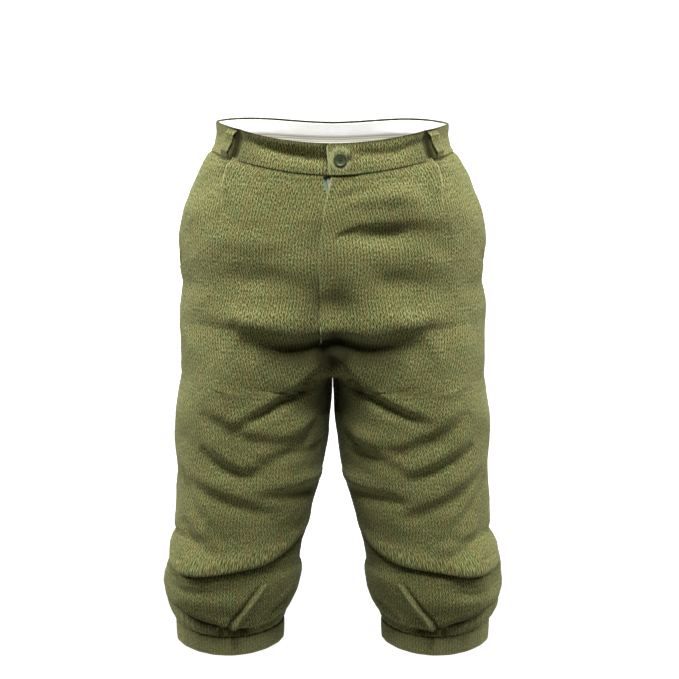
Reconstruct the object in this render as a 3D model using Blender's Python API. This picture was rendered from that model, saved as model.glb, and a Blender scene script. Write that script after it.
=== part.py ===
"""Knee breeches of thick wool cloth, in the shape that a wearer gives them.

Frame: metres, +Z up. The origin is the middle of the waist opening, at the height of
the waistband's top edge at the sides. +X is the wearer's left and the front faces -Y.

Half of the garment is one tube of cloth. A place on it has two coordinates:
    round  0 at the centre front or front inseam, 1 at the outseam,
           2 at the centre back or back inseam
    drop   how far it lies below the waistband's top edge at the side, in metres
"""
import math

import bpy
import numpy as np

for old_object in list(bpy.data.objects):
    bpy.data.objects.remove(old_object, do_unlink=True)

MM = 0.001

# ---------------------------------------------------------------- driving dimensions
CLOTH = 1.7 * MM               # thick tweed
SEAM_GAP = 0.3 * MM            # between two pieces sewn together
CROTCH_DROP = 352 * MM
BAND_HEIGHT = 38 * MM          # at the sides
CUFF_TOP = 699.4 * MM
CUFF_BOTTOM = 726.5 * MM
FRONT_FORK_RISE = 85 * MM      # how far above the crotch the two front lobes part
BACK_FORK_RISE = 130 * MM
FORK_ROUNDING = 18 * MM        # softens the valley between the lobes
FRONT_DIP = 19.6 * MM          # the band's top edge is this much lower at centre front
FRONT_SEAM_DIP = 23.6 * MM     # and its seam this much
BACK_DIP = 3 * MM
DIP_END = 200 * MM             # the dips have faded out here
FACE_WIDTH = 300 * MM          # one face of the tube, from seam to seam, for fold widths

# Sections of the tube, in millimetres: drop, outer and inner half widths from the
# middle plane, front and back depths, the side seam's own y, and the section's
# superellipse exponent (2 is an ellipse, more is squarer).
SECTION_COLUMNS = ("drop", "outer", "inner", "front", "back", "seam", "power")
SECTIONS = np.array((
    (0.0, 158.5, 0.0, -113.0, 113.0, 0.0, 2.00),
    (36.0, 163.0, 0.0, -117.0, 121.0, 1.0, 2.06),
    (44.0, 170.5, 0.0, -118.0, 123.0, 1.5, 2.10),
    (55.0, 177.5, 0.0, -120.0, 127.0, 2.0, 2.14),
    (77.0, 188.7, 0.0, -124.0, 133.0, 3.0, 2.18),
    (99.0, 198.5, 0.0, -128.0, 140.0, 4.0, 2.22),
    (121.0, 206.0, 0.0, -130.0, 144.0, 5.0, 2.26),
    (154.0, 210.0, 0.0, -132.0, 151.0, 7.0, 2.30),
    (176.0, 211.0, 0.0, -133.0, 154.0, 8.0, 2.30),
    (198.0, 209.0, 0.0, -133.0, 155.0, 8.0, 2.30),
    (215.0, 206.0, 0.0, -133.0, 155.0, 8.0, 2.30),
    (231.0, 208.0, 0.0, -132.5, 154.0, 8.0, 2.30),
    (254.0, 211.3, 0.0, -132.0, 152.0, 8.0, 2.30),
    (299.0, 210.4, 0.0, -128.0, 145.0, 7.0, 2.28),
    (343.0, 209.4, 0.0, -122.0, 133.0, 6.0, 2.24),
    (352.0, 210.6, 0.0, -121.0, 131.0, 6.0, 2.22),
    (366.0, 213.3, 0.7, -120.0, 128.0, 5.5, 2.20),
    (400.0, 218.3, 2.75, -117.0, 120.0, 4.5, 2.20),
    (428.0, 218.6, 5.3, -114.0, 114.0, 3.0, 2.18),
    (457.0, 219.0, 9.8, -111.0, 108.5, 2.0, 2.16),
    (485.0, 216.8, 16.0, -109.0, 103.0, 0.0, 2.15),
    (526.0, 219.3, 27.3, -106.0, 96.0, -3.0, 2.15),
    (550.0, 220.3, 34.0, -104.0, 92.0, -5.0, 2.15),
    (560.0, 218.3, 36.5, -103.0, 91.0, -6.0, 2.15),
    (571.0, 224.0, 40.0, -103.5, 90.0, -6.0, 2.15),
    (583.0, 229.0, 43.6, -104.0, 89.0, -6.0, 2.15),
    (606.0, 233.7, 46.4, -103.0, 88.0, -6.0, 2.15),
    (618.0, 235.3, 43.6, -102.5, 88.5, -6.0, 2.15),
    (635.0, 235.3, 45.6, -100.5, 90.0, -5.5, 2.14),
    (664.0, 233.0, 54.3, -93.0, 88.0, -3.0, 2.10),
    (688.0, 225.5, 65.7, -82.0, 80.0, -1.0, 2.04),
    (699.4, 220.5, 69.0, -75.0, 72.0, 0.0, 2.00),
    (726.5, 219.0, 70.0, -72.0, 70.0, 0.0, 2.00),
))


# ---------------------------------------------------------------- the cloth's surface
def smooth_curve(places, values):
    """A curve through the table's points that never swings past them."""
    slopes = np.diff(values) / np.diff(places)
    tangents = np.zeros(len(places))
    tangents[0], tangents[-1] = slopes[0], slopes[-1]
    same_way = slopes[:-1] * slopes[1:] > 0.0
    both = np.where(same_way, slopes[:-1] + slopes[1:], 1.0)
    tangents[1:-1] = np.where(same_way, 2.0 * slopes[:-1] * slopes[1:] / both, 0.0)

    def value_at(place):
        place = np.clip(place, places[0], places[-1])
        span = np.clip(np.searchsorted(places, place, side="right") - 1, 0, len(places) - 2)
        width = places[span + 1] - places[span]
        t = (place - places[span]) / width
        return (values[span] * (1 + 2 * t) * (1 - t) ** 2
                + tangents[span] * width * t * (1 - t) ** 2
                + values[span + 1] * t * t * (3 - 2 * t)
                + tangents[span + 1] * width * t * t * (t - 1))
    return value_at


SECTION_SCALE = {"power": 1.0}
SECTION_AT = {
    column: smooth_curve(SECTIONS[:, 0] * MM, SECTIONS[:, index] * SECTION_SCALE.get(column, MM))
    for index, column in enumerate(SECTION_COLUMNS)
}


def fade(value, start, end):
    """0 at start, 1 at end, smooth between."""
    t = np.clip((value - start) / (end - start), 0.0, 1.0)
    return t * t * (3.0 - 2.0 * t)


def section_point(share, drop, back):
    """x and y on a face: share 0 is the centre line or inseam, 1 is the outseam."""
    outer, inner = SECTION_AT["outer"](drop), SECTION_AT["inner"](drop)
    seam, power = SECTION_AT["seam"](drop), SECTION_AT["power"](drop)
    depth = np.where(back, SECTION_AT["back"](drop), SECTION_AT["front"](drop)) - seam
    rise = np.where(back, BACK_FORK_RISE, FRONT_FORK_RISE)
    above = drop < CROTCH_DROP
    parted = np.clip(1.0 - (CROTCH_DROP - drop) / rise, 0.0, 1.0)
    half = np.where(above, outer / (1.0 + parted), (outer - inner) / 2.0)
    middle = np.where(above, parted * half, (outer + inner) / 2.0)
    rounding = np.where(above, FORK_ROUNDING * 4.0 * parted * (1.0 - parted), 0.0)
    reach = np.where(above, (middle - rounding) / half, 1.0)
    start = np.arccos(np.clip(reach, 0.0, 1.0) ** (power / 2.0))
    turn = np.linspace(0.0, 1.0, 161)
    angle = start[:, None] + (math.pi - start[:, None]) * turn
    bend = (2.0 / power)[:, None]
    cosine, sine = np.cos(angle), np.clip(np.sin(angle), 0.0, 1.0)
    x = middle[:, None] - half[:, None] * np.sign(cosine) * np.abs(cosine) ** bend
    y = seam[:, None] + depth[:, None] * sine ** bend
    narrowed = np.sqrt(np.maximum(x * x - rounding[:, None] ** 2, 0.0))
    full = np.sqrt(outer * outer - rounding * rounding)
    x = np.where(above[:, None], narrowed * (outer / full)[:, None], x)
    steps = np.hypot(np.diff(x, axis=1), np.diff(y, axis=1))
    length = np.concatenate((np.zeros((len(x), 1)), np.cumsum(steps, axis=1)), axis=1)
    wanted = share * length[:, -1]
    cell = np.clip((length < wanted[:, None]).sum(axis=1) - 1, 0, 159)
    row = np.arange(len(x))
    t = (wanted - length[row, cell]) / np.maximum(length[row, cell + 1] - length[row, cell], 1e-12)
    return (x[row, cell] + t * (x[row, cell + 1] - x[row, cell]),
            y[row, cell] + t * (y[row, cell + 1] - y[row, cell]))


def base_point(around, drop):
    """The smooth tube without folds, one point for each pair of coordinates."""
    past_end = (around < 0.0) | (around > 2.0)
    above = drop < CROTCH_DROP
    mirrored = np.where(around < 0.0, -around, 4.0 - around)
    wrapped = np.where(around < 0.0, around + 2.0, around - 2.0)
    inside = np.where(past_end, np.where(above, mirrored, wrapped), around)
    back = inside > 1.0
    x, y = section_point(np.where(back, 2.0 - inside, inside), drop, back)
    x = np.where(past_end & above, -x, x)
    top = np.clip(drop / BAND_HEIGHT, 0.0, 1.0)
    front_dip = FRONT_DIP + (FRONT_SEAM_DIP - FRONT_DIP) * top
    dip = np.where(back, BACK_DIP, front_dip) * (1.0 - fade(drop, BAND_HEIGHT, DIP_END))
    z = -drop - dip * np.cos(inside * math.pi / 2.0) ** 2
    return np.stack((x, y, z), axis=1)


# ---------------------------------------------------------------- folds
# A row for each large fold: the wearer's side it is on (1 left, -1 right), its route
# through three places (round, drop in mm), and in mm the trough's depth, its half
# width, the height of the ridge beside it, and how far that ridge leans over the
# trough. The ridge lies on the upper side of a route that runs with growing round.
FOLD_COLUMNS = ("side", "start", "middle", "end", "depth", "width", "ridge", "lean")
FRONT_FOLDS = (
    (-1, (0.05, 294), (0.24, 290), (0.43, 278), 2.5, 9, 1.5, 0.0),
    (-1, (0.03, 324), (0.25, 352), (0.52, 384), 4.5, 9, 3.0, 1.0),
    (-1, (0.24, 402), (0.42, 419), (0.61, 394), 5.5, 9, 4.0, 2.0),
    (-1, (0.45, 464), (0.54, 460), (0.63, 444), 4.0, 8, 3.0, 1.5),
    (-1, (0.15, 461), (0.29, 473), (0.40, 482), 4.5, 8, 3.0, 1.0),
    (-1, (0.12, 500), (0.28, 498), (0.41, 490), 4.0, 8, 3.0, 1.0),
    (-1, (0.58, 568), (0.70, 530), (0.86, 482), 4.0, 10, 3.0, 0.0),
    (-1, (0.10, 556), (0.42, 594), (0.82, 608), 9.0, 11, 6.5, 6.0),
    (-1, (0.50, 684), (0.72, 671), (0.94, 642), 6.0, 9, 2.0, 4.0),
    (-1, (0.55, 697), (0.46, 660), (0.38, 620), 5.0, 7, 4.0, 3.0),
    (-1, (0.45, 234), (0.72, 224), (1.00, 216), 2.5, 15, 1.5, 0.0),
    (1, (0.04, 296), (0.21, 291), (0.36, 285), 2.5, 9, 1.5, 0.0),
    (1, (0.03, 328), (0.30, 360), (0.54, 388), 4.5, 9, 3.0, 1.0),
    (1, (0.19, 402), (0.41, 422), (0.64, 402), 5.5, 9, 4.0, 2.0),
    (1, (0.14, 470), (0.29, 474), (0.43, 498), 4.5, 8, 3.0, 1.0),
    (1, (0.47, 469), (0.56, 464), (0.64, 450), 4.0, 8, 3.0, 1.5),
    (1, (0.40, 525), (0.53, 511), (0.67, 486), 4.0, 9, 3.0, 1.0),
    (1, (0.64, 548), (0.74, 515), (0.86, 476), 4.0, 10, 3.0, 0.0),
    (1, (0.08, 560), (0.42, 597), (0.80, 611), 9.0, 11, 6.5, 6.0),
    (1, (0.52, 684), (0.74, 670), (0.95, 646), 6.0, 9, 2.0, 4.0),
    (1, (0.57, 698), (0.47, 664), (0.36, 622), 5.0, 7, 4.0, 3.0),
    (1, (0.04, 121), (0.30, 110), (0.60, 130), 2.0, 13, 1.5, 0.0),
)
BACK_FOLDS = (
    (-1, (1.46, 402), (1.72, 382), (1.95, 366), 5.0, 11, 3.5, 1.0),
    (-1, (1.24, 446), (1.52, 458), (1.84, 440), 5.0, 11, 3.5, 1.5),
    (-1, (1.12, 508), (1.38, 520), (1.66, 506), 4.5, 10, 3.0, 1.0),
    (-1, (1.16, 572), (1.50, 556), (1.90, 566), 8.0, 11, 5.5, 4.0),
    (-1, (1.20, 618), (1.54, 606), (1.86, 622), 6.0, 10, 4.0, 3.0),
    (-1, (1.08, 654), (1.48, 680), (1.90, 660), 6.0, 10, 2.0, 4.0),
    (-1, (1.00, 216), (1.22, 222), (1.42, 232), 2.5, 15, 1.5, 0.0),
    (1, (1.44, 398), (1.70, 380), (1.94, 364), 5.0, 11, 3.5, 1.0),
    (1, (1.26, 440), (1.54, 454), (1.86, 444), 5.0, 11, 3.5, 1.5),
    (1, (1.10, 514), (1.36, 522), (1.62, 502), 4.5, 10, 3.0, 1.0),
    (1, (1.18, 566), (1.52, 553), (1.88, 570), 8.0, 11, 5.5, 4.0),
    (1, (1.22, 622), (1.56, 608), (1.88, 616), 6.0, 10, 4.0, 3.0),
    (1, (1.10, 650), (1.50, 679), (1.92, 656), 6.0, 10, 2.0, 4.0),
)
RIDGE_PLACE = 1.5              # ridge and lean sit this many half widths above the trough
LEAN_PLACE = 1.3


def fold_fields(side, around, drop):
    """Height off the smooth tube, and the shift along it, that the folds give."""
    height = np.zeros(len(around))
    shift_across = np.zeros(len(around))
    shift_down = np.zeros(len(around))
    across = around * FACE_WIDTH
    for row in FRONT_FOLDS + BACK_FOLDS:
        fold = dict(zip(FOLD_COLUMNS, row))
        if fold["side"] != side:
            continue
        unit = np.array((FACE_WIDTH, MM))
        start, middle, end = (np.array(fold[key]) * unit for key in ("start", "middle", "end"))
        control = 2.0 * middle - (start + end) / 2.0
        t = np.linspace(0.0, 1.0, 25)[:, None]
        route = start * (1 - t) ** 2 + 2 * control * t * (1 - t) + end * t * t
        piece = np.diff(route, axis=0)
        piece_length = np.hypot(piece[:, 0], piece[:, 1])
        from_start = np.stack((across, drop), axis=1)[:, None, :] - route[None, :-1, :]
        along = np.clip((from_start * piece).sum(axis=2) / piece_length ** 2, 0.0, 1.0)
        gap = from_start - along[:, :, None] * piece
        distance = np.hypot(gap[:, :, 0], gap[:, :, 1])
        nearest = distance.argmin(axis=1)
        point = np.arange(len(around))
        direction = piece[nearest] / piece_length[nearest][:, None]
        gap = gap[point, nearest]
        upward = gap[:, 0] * direction[:, 1] - gap[:, 1] * direction[:, 0]
        far = distance[point, nearest] / (fold["width"] * MM)
        side_step = np.sign(upward) * far
        travelled = (nearest + along[point, nearest]) / len(piece)
        strength = (4.0 * travelled * (1.0 - travelled)) ** 0.6
        trough = -fold["depth"] * np.exp(-far ** 2)
        ridge = fold["ridge"] * np.exp(-(side_step - RIDGE_PLACE) ** 2)
        lean = fold["lean"] * np.exp(-((side_step - LEAN_PLACE) / 0.9) ** 2)
        height += strength * (trough + ridge) * MM
        shift_across -= strength * lean * MM * direction[:, 1]
        shift_down += strength * lean * MM * direction[:, 0]
    quiet = fade(drop, BAND_HEIGHT, BAND_HEIGHT + 20 * MM)
    quiet = quiet * (1.0 - fade(drop, CUFF_TOP - 9 * MM, CUFF_TOP - 1 * MM))
    return height * quiet, shift_across * quiet / FACE_WIDTH, shift_down * quiet


NORMAL_ROUND_STEP = 0.012
NORMAL_DROP_STEP = 3 * MM
CROTCH_POINT = np.array((0.0, float(SECTION_AT["seam"](CROTCH_DROP)), -CROTCH_DROP))
CROTCH_SPREAD = 9 * MM


def outward(surface, around, drop):
    """Unit normals of a surface function; straight down at the crotch point."""
    across = surface(around + NORMAL_ROUND_STEP, drop) - surface(around - NORMAL_ROUND_STEP, drop)
    down = surface(around, drop + NORMAL_DROP_STEP) - surface(around, drop - NORMAL_DROP_STEP)
    normal = np.cross(down, across)
    normal /= np.maximum(np.linalg.norm(normal, axis=1), 1e-9)[:, None]
    reach = np.linalg.norm(surface(around, drop) - CROTCH_POINT, axis=1)
    normal += np.exp(-(reach / CROTCH_SPREAD) ** 2)[:, None] * np.array((0.0, 0.0, -3.0))
    return normal / np.linalg.norm(normal, axis=1)[:, None]


def cloth_surface(side):
    """The folded tube of one side, as a function of round and drop, at positive x."""
    def surface(around, drop):
        height, shift_across, shift_down = fold_fields(side, around, drop)
        around = around + shift_across
        drop = drop + shift_down
        return base_point(around, drop) + height[:, None] * outward(base_point, around, drop)
    return surface


# ---------------------------------------------------------------- panels
def face_length(drop, back):
    """Length of one face from centre line or inseam to outseam."""
    share = np.linspace(0.0, 1.0, 60)
    x, y = section_point(share, np.full(60, float(drop)), np.full(60, back))
    return float(np.hypot(np.diff(x), np.diff(y)).sum())


def wall_object(name, side, around, drop, outer, inner, colour, roughness, ring=False):
    """A closed wall of cloth over a grid of round and drop.

    outer and inner are the two skins' heights off the cloth surface, in metres.
    """
    rows, columns = around.shape
    surface = cloth_surface(side)
    places = surface(around.ravel(), drop.ravel())
    normals = outward(surface, around.ravel(), drop.ravel())
    skins = []
    for height in (outer, inner):
        height = np.broadcast_to(height, around.shape).ravel()
        skin = places + normals * height[:, None]
        if around.min() >= 0.0 and around.max() <= 2.0:
            skin[:, 0] = np.maximum(skin[:, 0], SEAM_GAP / 2)
        skin[:, 0] *= side
        skins.append(skin)
    vertices = np.concatenate(skins)
    shell = rows * columns
    faces = []
    spans = columns if ring else columns - 1
    for row in range(rows - 1):
        for column in range(spans):
            corner = row * columns + column
            beside = row * columns + (column + 1) % columns
            faces.append((corner, corner + columns, beside + columns, beside))
            faces.append((corner + shell, beside + shell, beside + columns + shell,
                          corner + columns + shell))
    for column in range(spans):
        beside = (column + 1) % columns
        foot = (rows - 1) * columns
        faces.append((column, beside, beside + shell, column + shell))
        faces.append((foot + column, foot + column + shell, foot + beside + shell, foot + beside))
    if not ring:
        for row in range(rows - 1):
            corner = row * columns
            edge = corner + columns - 1
            faces.append((corner, corner + shell, corner + columns + shell, corner + columns))
            faces.append((edge, edge + columns, edge + columns + shell, edge + shell))
    if side < 0:
        faces = [tuple(reversed(face)) for face in faces]
    return mesh_object(name, vertices.tolist(), faces, colour, roughness)


def mesh_object(name, vertices, faces, colour, roughness, metallic=0.0):
    mesh = bpy.data.meshes.new(name)
    mesh.from_pydata(vertices, [], faces)
    mesh.validate()
    thing = bpy.data.objects.new(name, mesh)
    bpy.context.scene.collection.objects.link(thing)
    finish(thing, colour, roughness, metallic)
    return thing


def finish(thing, colour, roughness, metallic=0.0):
    """The object's own material; colour is linear red, green and blue."""
    material = bpy.data.materials.new(thing.name)
    material.use_nodes = True
    shader = material.node_tree.nodes["Principled BSDF"]
    shader.inputs["Base Color"].default_value = (*colour, 1.0)
    shader.inputs["Roughness"].default_value = roughness
    shader.inputs["Metallic"].default_value = metallic
    thing.data.materials.clear()
    thing.data.materials.append(material)
    thing.data.shade_smooth()
    thing.data.set_sharp_from_angle(angle=math.radians(40))


TWEED = (0.15, 0.16, 0.075)
LINING = (0.80, 0.79, 0.74)
ZIP_CLOTH = (0.12, 0.14, 0.10)
METAL = (0.62, 0.61, 0.58)
BUTTON_COLOUR = (0.03, 0.035, 0.02)
EDGE = 0.0006                  # half a seam gap, in round
SIDES = (("left", 1), ("right", -1))

# Rows of the panels, as drops in mm, closer where the folds are tight.
BODY_ROWS = np.concatenate((
    (BAND_HEIGHT + SEAM_GAP,),
    np.array((44, 52, 64, 82, 102, 124, 150, 172, 190, 204, 222, 243, 264)) * MM,
    np.linspace(280 * MM, CROTCH_DROP, 6),
    np.linspace(CROTCH_DROP, 536 * MM, 12)[1:],
    np.linspace(547 * MM, CUFF_TOP - SEAM_GAP / 2, 15),
))
FRONT_COLUMNS = 13
BACK_COLUMNS = 10


def crowded(drop, share, rise):
    """Drops of a panel row, lowered near the centre so that rows follow the fork."""
    left = np.clip((CROTCH_DROP - drop) / rise, 0.0, 1.0)
    lowered = rise * (left - 1.0 + np.cos(left * math.pi / 2.0))
    near = np.clip(1.0 - share / 0.5, 0.0, 1.0) ** 2
    return drop + np.where(left > 0.0, near * lowered, 0.0)


# ---------------------------------------------------------------- fly
# The left front laps over the zip. Its edge and the right front's edge, in mm past
# the centre line towards the wearer's right.
FLAP_LIFT = 2.2 * MM
FLAP_EDGE = smooth_curve(
    np.array((38, 64, 86, 132, 186, 218, 254, 292, 318, 340, 352, 353)) * MM,
    np.array((3.0, 6.0, 10.0, 15.0, 17.0, 17.5, 16.5, 14.0, 8.0, 1.5, 0.0, 0.0)) * MM)
UNDER_EDGE = 12.3 * MM
UNDER_END = 272 * MM           # below this the two fronts butt along the flap's edge
FLAP_SEWN = 300 * MM
BODY_LENGTHS = {
    back: smooth_curve(BODY_ROWS, np.array([face_length(drop, back) for drop in BODY_ROWS]))
    for back in (False, True)
}


def flap_lift(around, drop):
    """How far the left front stands off over the zip and the right front's edge."""
    x = around * BODY_LENGTHS[False](drop)
    near = 1.0 - fade(x, -8 * MM, 12 * MM)
    return FLAP_LIFT * near * (1.0 - fade(drop, FLAP_SEWN - 15 * MM, FLAP_SEWN))


# ---------------------------------------------------------------- pockets
# The front panel's outer edge, as round against drop in mm: a slanted pocket mouth
# that turns out to the side seam at its lower end.
POCKET_MOUTH = smooth_curve(
    np.array((38, 60, 90, 130, 150, 172, 188, 200, 201)) * MM,
    np.array((0.650, 0.625, 0.590, 0.575, 0.600, 0.720, 0.880, 1.0, 1.0)))
POCKET_END = 206 * MM
POCKET_GAPE = 2.6 * MM
POCKET_UNDERLAP = 2            # columns of the front panel that the hip piece lies under
POCKET_PAST_SEAM = 0.010
YOKE_SINK = CLOTH + SEAM_GAP


def pocket_lift(around, drop):
    """The pocket's edge gapes a little at its top."""
    near = fade(around, POCKET_MOUTH(drop) - 0.10, POCKET_MOUTH(drop))
    deep = fade(drop, 40 * MM, 48 * MM) * (1.0 - fade(drop, 66 * MM, 92 * MM))
    return POCKET_GAPE * near * deep


def front_grid(side):
    """Round and drop of the front panel's points, from the fly to the pocket's mouth."""
    flap = FLAP_EDGE(BODY_ROWS)
    length = BODY_LENGTHS[False](BODY_ROWS)
    if side > 0:
        first = -flap / length + EDGE
    else:
        under = BODY_ROWS < UNDER_END
        past_crotch = BODY_ROWS >= CROTCH_DROP
        first = np.where(under, np.minimum(UNDER_EDGE, flap + 5 * MM), flap) / length + EDGE
        first = np.where(past_crotch, EDGE, first)
    last = np.minimum(POCKET_MOUTH(BODY_ROWS), 1.0 - EDGE)
    across = np.linspace(0.0, 1.0, FRONT_COLUMNS)[None, :]
    around = first[:, None] + (last - first)[:, None] * across
    return around, crowded(BODY_ROWS[:, None], np.abs(around), FRONT_FORK_RISE)


def front_panel(word, side):
    around, drop = front_grid(side)
    height = pocket_lift(around, drop)
    if side > 0:
        height = height + flap_lift(around, drop)
    wall_object("front_" + word, side, around, drop, height, height - CLOTH, TWEED, 0.95)


def back_panel(word, side):
    across = np.linspace(1.0 + EDGE, 2.0 - EDGE, BACK_COLUMNS)[None, :]
    around = np.repeat(across, len(BODY_ROWS), axis=0)
    drop = crowded(BODY_ROWS[:, None], 2.0 - around, BACK_FORK_RISE)
    wall_object("back_" + word, side, around, drop, 0.0, -CLOTH, TWEED, 0.95)


def pocket_yoke(word, side):
    """The hip piece in the pocket's mouth, flush with the back panel at the side seam.

    Under the front panel it has that panel's own points, moved in. Its foot runs on
    past the side seam, inside the back panel.
    """
    rows = BODY_ROWS < POCKET_END
    front_around, front_drop = front_grid(side)
    under = front_around[rows][:, -POCKET_UNDERLAP:]
    mouth = under[:, -1]
    closed = mouth > 0.97
    last = np.where(closed, 1.0 + POCKET_PAST_SEAM, 1.0 - EDGE)
    across = np.linspace(0.0, 1.0, 5)[None, 1:]
    beyond = mouth[:, None] + (last - mouth)[:, None] * across
    around = np.concatenate((under, beyond), axis=1)
    drop = np.repeat(BODY_ROWS[rows][:, None], around.shape[1], axis=1)
    flush = (1.0 - fade(mouth, 0.66, 0.80))[:, None] * fade(around, mouth[:, None] + 0.02, 1.0)
    height = -YOKE_SINK * (1.0 - flush) - 0.6 * MM * closed[:, None]
    wall_object("pocket_yoke_" + word, side, around, drop, height, height - CLOTH, TWEED, 0.95)


for word, side in SIDES:
    front_panel(word, side)
    back_panel(word, side)
    pocket_yoke(word, side)

# ---------------------------------------------------------------- waistband
BAND_OUT = 0.8 * MM            # the band's faces, off the cloth surface
BAND_IN = -1.6 * MM
TAB_LIFT = 2.8 * MM            # the left half laps over the right half in front
TAB_END = 8.5 * MM             # past the centre line, at the top
TAB_SLANT = 3.5 * MM           # and this much less at the seam
TAB_CORNER = 7 * MM
UNDERLAP_END = 18 * MM         # the right half runs on to here under the tab
BAND_ROWS = np.array((0.0, 1.0, 3.0, 14.0, 26.0, 33.0, 37.85)) * MM
BAND_COLUMNS = 21
BAND_CROWDING = 1.25           # columns lie closer in front, where the halves lap


def tab_lift(around):
    x = around * BODY_LENGTHS[False](BAND_HEIGHT)
    return TAB_LIFT * (1.0 - fade(x, 20 * MM, 46 * MM))


def band_grid(side):
    """Round and drop of the band's points, from the tab or the underlap to centre back."""
    length = face_length(BAND_HEIGHT / 2, False)
    if side > 0:
        left_over = np.maximum(TAB_CORNER - BAND_ROWS, 0.0)
        corner = TAB_CORNER - np.sqrt(TAB_CORNER ** 2 - left_over ** 2)
        first = -(TAB_END - TAB_SLANT * BAND_ROWS / BAND_HEIGHT - corner) / length
    else:
        first = np.full(len(BAND_ROWS), -UNDERLAP_END / length)
    across = np.linspace(0.0, 1.0, BAND_COLUMNS)[None, :] ** BAND_CROWDING
    around = first[:, None] + (2.0 - EDGE - first)[:, None] * across
    return around, np.repeat(BAND_ROWS[:, None], BAND_COLUMNS, axis=1)


def waistband(word, side):
    around, drop = band_grid(side)
    lift = tab_lift(around) if side > 0 else 0.0 * around
    wall_object("waistband_" + word, side, around, drop, lift + BAND_OUT, lift + BAND_IN,
                TWEED, 0.95)


LINING_OUT = BAND_IN - 0.4 * MM
LINING_THICKNESS = 1.0 * MM
LINING_TOP_ROW = 2             # of the band's rows
LINING_FOOT = 48 * MM          # it hangs free below the seam
LINING_HANG = 2.6 * MM         # further in there, behind the panels
LINING_FIRST_COLUMN = 3        # of the band's columns, clear of the zip tape


def waistband_lining(word, side):
    around, drop = band_grid(side)
    around = around[LINING_TOP_ROW:, LINING_FIRST_COLUMN:]
    drop = drop[LINING_TOP_ROW:, LINING_FIRST_COLUMN:]
    around = np.concatenate((around, around[-1:]))
    drop = np.concatenate((drop, np.full_like(drop[:1], LINING_FOOT)))
    lift = tab_lift(around) if side > 0 else 0.0 * around
    lift = lift * (1.0 - fade(drop, 26 * MM, 38 * MM))
    depth = lift + LINING_OUT - LINING_HANG * fade(drop, 26 * MM, 38 * MM)
    wall_object("waistband_lining_" + word, side, around, drop, depth, depth - LINING_THICKNESS,
                LINING, 0.8)


for word, side in SIDES:
    waistband(word, side)
    waistband_lining(word, side)

# ---------------------------------------------------------------- belt loops
LOOP_WIDTH = 11 * MM
LOOP_THICKNESS = 1.5 * MM
LOOP_STAND = 3.4 * MM          # how far the strap stands off the band in its middle
LOOP_SEAT = BAND_OUT + 0.5 * MM
LOOP_TOP = 2.5 * MM
LOOP_FOOT = 36.5 * MM
LOOP_ROWS = 9
LOOPS = (                      # name, side, round at the top, round at the foot
    ("belt_loop_front_left", 1, 0.680, 0.700),
    ("belt_loop_front_right", -1, 0.680, 0.700),
    ("belt_loop_back_left", 1, 1.400, 1.395),
    ("belt_loop_back_right", -1, 1.400, 1.395),
    ("belt_loop_centre_back", 1, 2.000, 2.000),
)
for name, side, top_round, foot_round in LOOPS:
    along = np.linspace(0.0, 1.0, LOOP_ROWS)[:, None]
    middle = top_round + (foot_round - top_round) * along
    half = LOOP_WIDTH / 2 / face_length(BAND_HEIGHT / 2, top_round > 1.0)
    around = middle + half * np.array((-1.0, 1.0))[None, :]
    drop = np.repeat(LOOP_TOP + (LOOP_FOOT - LOOP_TOP) * along, 2, axis=1)
    stand = LOOP_SEAT + LOOP_STAND * fade(along, 0.10, 0.30) * (1.0 - fade(along, 0.72, 0.92))
    stand = np.repeat(stand, 2, axis=1)
    wall_object(name, side, around, drop, stand + LOOP_THICKNESS, stand, TWEED, 0.95)

# ---------------------------------------------------------------- cuffs
CUFF_OUT = 0.8 * MM
CUFF_IN = -1.6 * MM
CUFF_SPANS = 32
for word, side in SIDES:
    turn = np.linspace(0.0, 2.0, CUFF_SPANS, endpoint=False)[None, :]
    rows = np.array((CUFF_TOP + SEAM_GAP / 2, CUFF_BOTTOM))[:, None]
    around = np.repeat(turn, 2, axis=0)
    drop = np.repeat(rows, CUFF_SPANS, axis=1)
    wall_object("cuff_" + word, side, around, drop, CUFF_OUT, CUFF_IN, TWEED, 0.95, ring=True)

# ---------------------------------------------------------------- zip
ZIP_MIDDLE = -2 * MM           # the chain's x; the tape is sewn under both fronts
TAPE_HALF = 12 * MM
TAPE_THICKNESS = 0.8 * MM
TAPE_TOP = 36 * MM
TAPE_FOOT = 236 * MM
TAPE_SEAT = -CLOTH - 0.5 * MM
TAPE_SAG_TOP = 5.2 * MM        # it hangs this far back in the middle, less lower down
TAPE_SAG_FOOT = 1.6 * MM
CHAIN_HALF = 2.5 * MM
CHAIN_HEIGHT = 0.9 * MM
TAPE_PLACES = np.array((-12.0, -8.5, -4.6, -2.6, -2.5, 2.5, 2.6, 4.6, 8.5, 12.0)) * MM


def tape_sag(drop):
    return TAPE_SAG_TOP + (TAPE_SAG_FOOT - TAPE_SAG_TOP) * fade(drop, TAPE_TOP, 130 * MM)


def zip_tape():
    rows = TAPE_TOP + (TAPE_FOOT - TAPE_TOP) * np.linspace(0.0, 1.0, 10)[:, None] ** 1.5
    drop = np.repeat(rows, len(TAPE_PLACES), axis=1)
    around = (TAPE_PLACES[None, :] + ZIP_MIDDLE) / BODY_LENGTHS[False](drop)
    bowl = np.clip(1.0 - (TAPE_PLACES / TAPE_HALF) ** 2, 0.0, 1.0)[None, :]
    height = TAPE_SEAT - tape_sag(drop) * bowl
    chain = CHAIN_HEIGHT * (np.abs(TAPE_PLACES) <= CHAIN_HALF)[None, :]
    wall_object("zip_tape", 1, around, drop, height + chain, height - TAPE_THICKNESS,
                ZIP_CLOTH, 0.9)


zip_tape()


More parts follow.
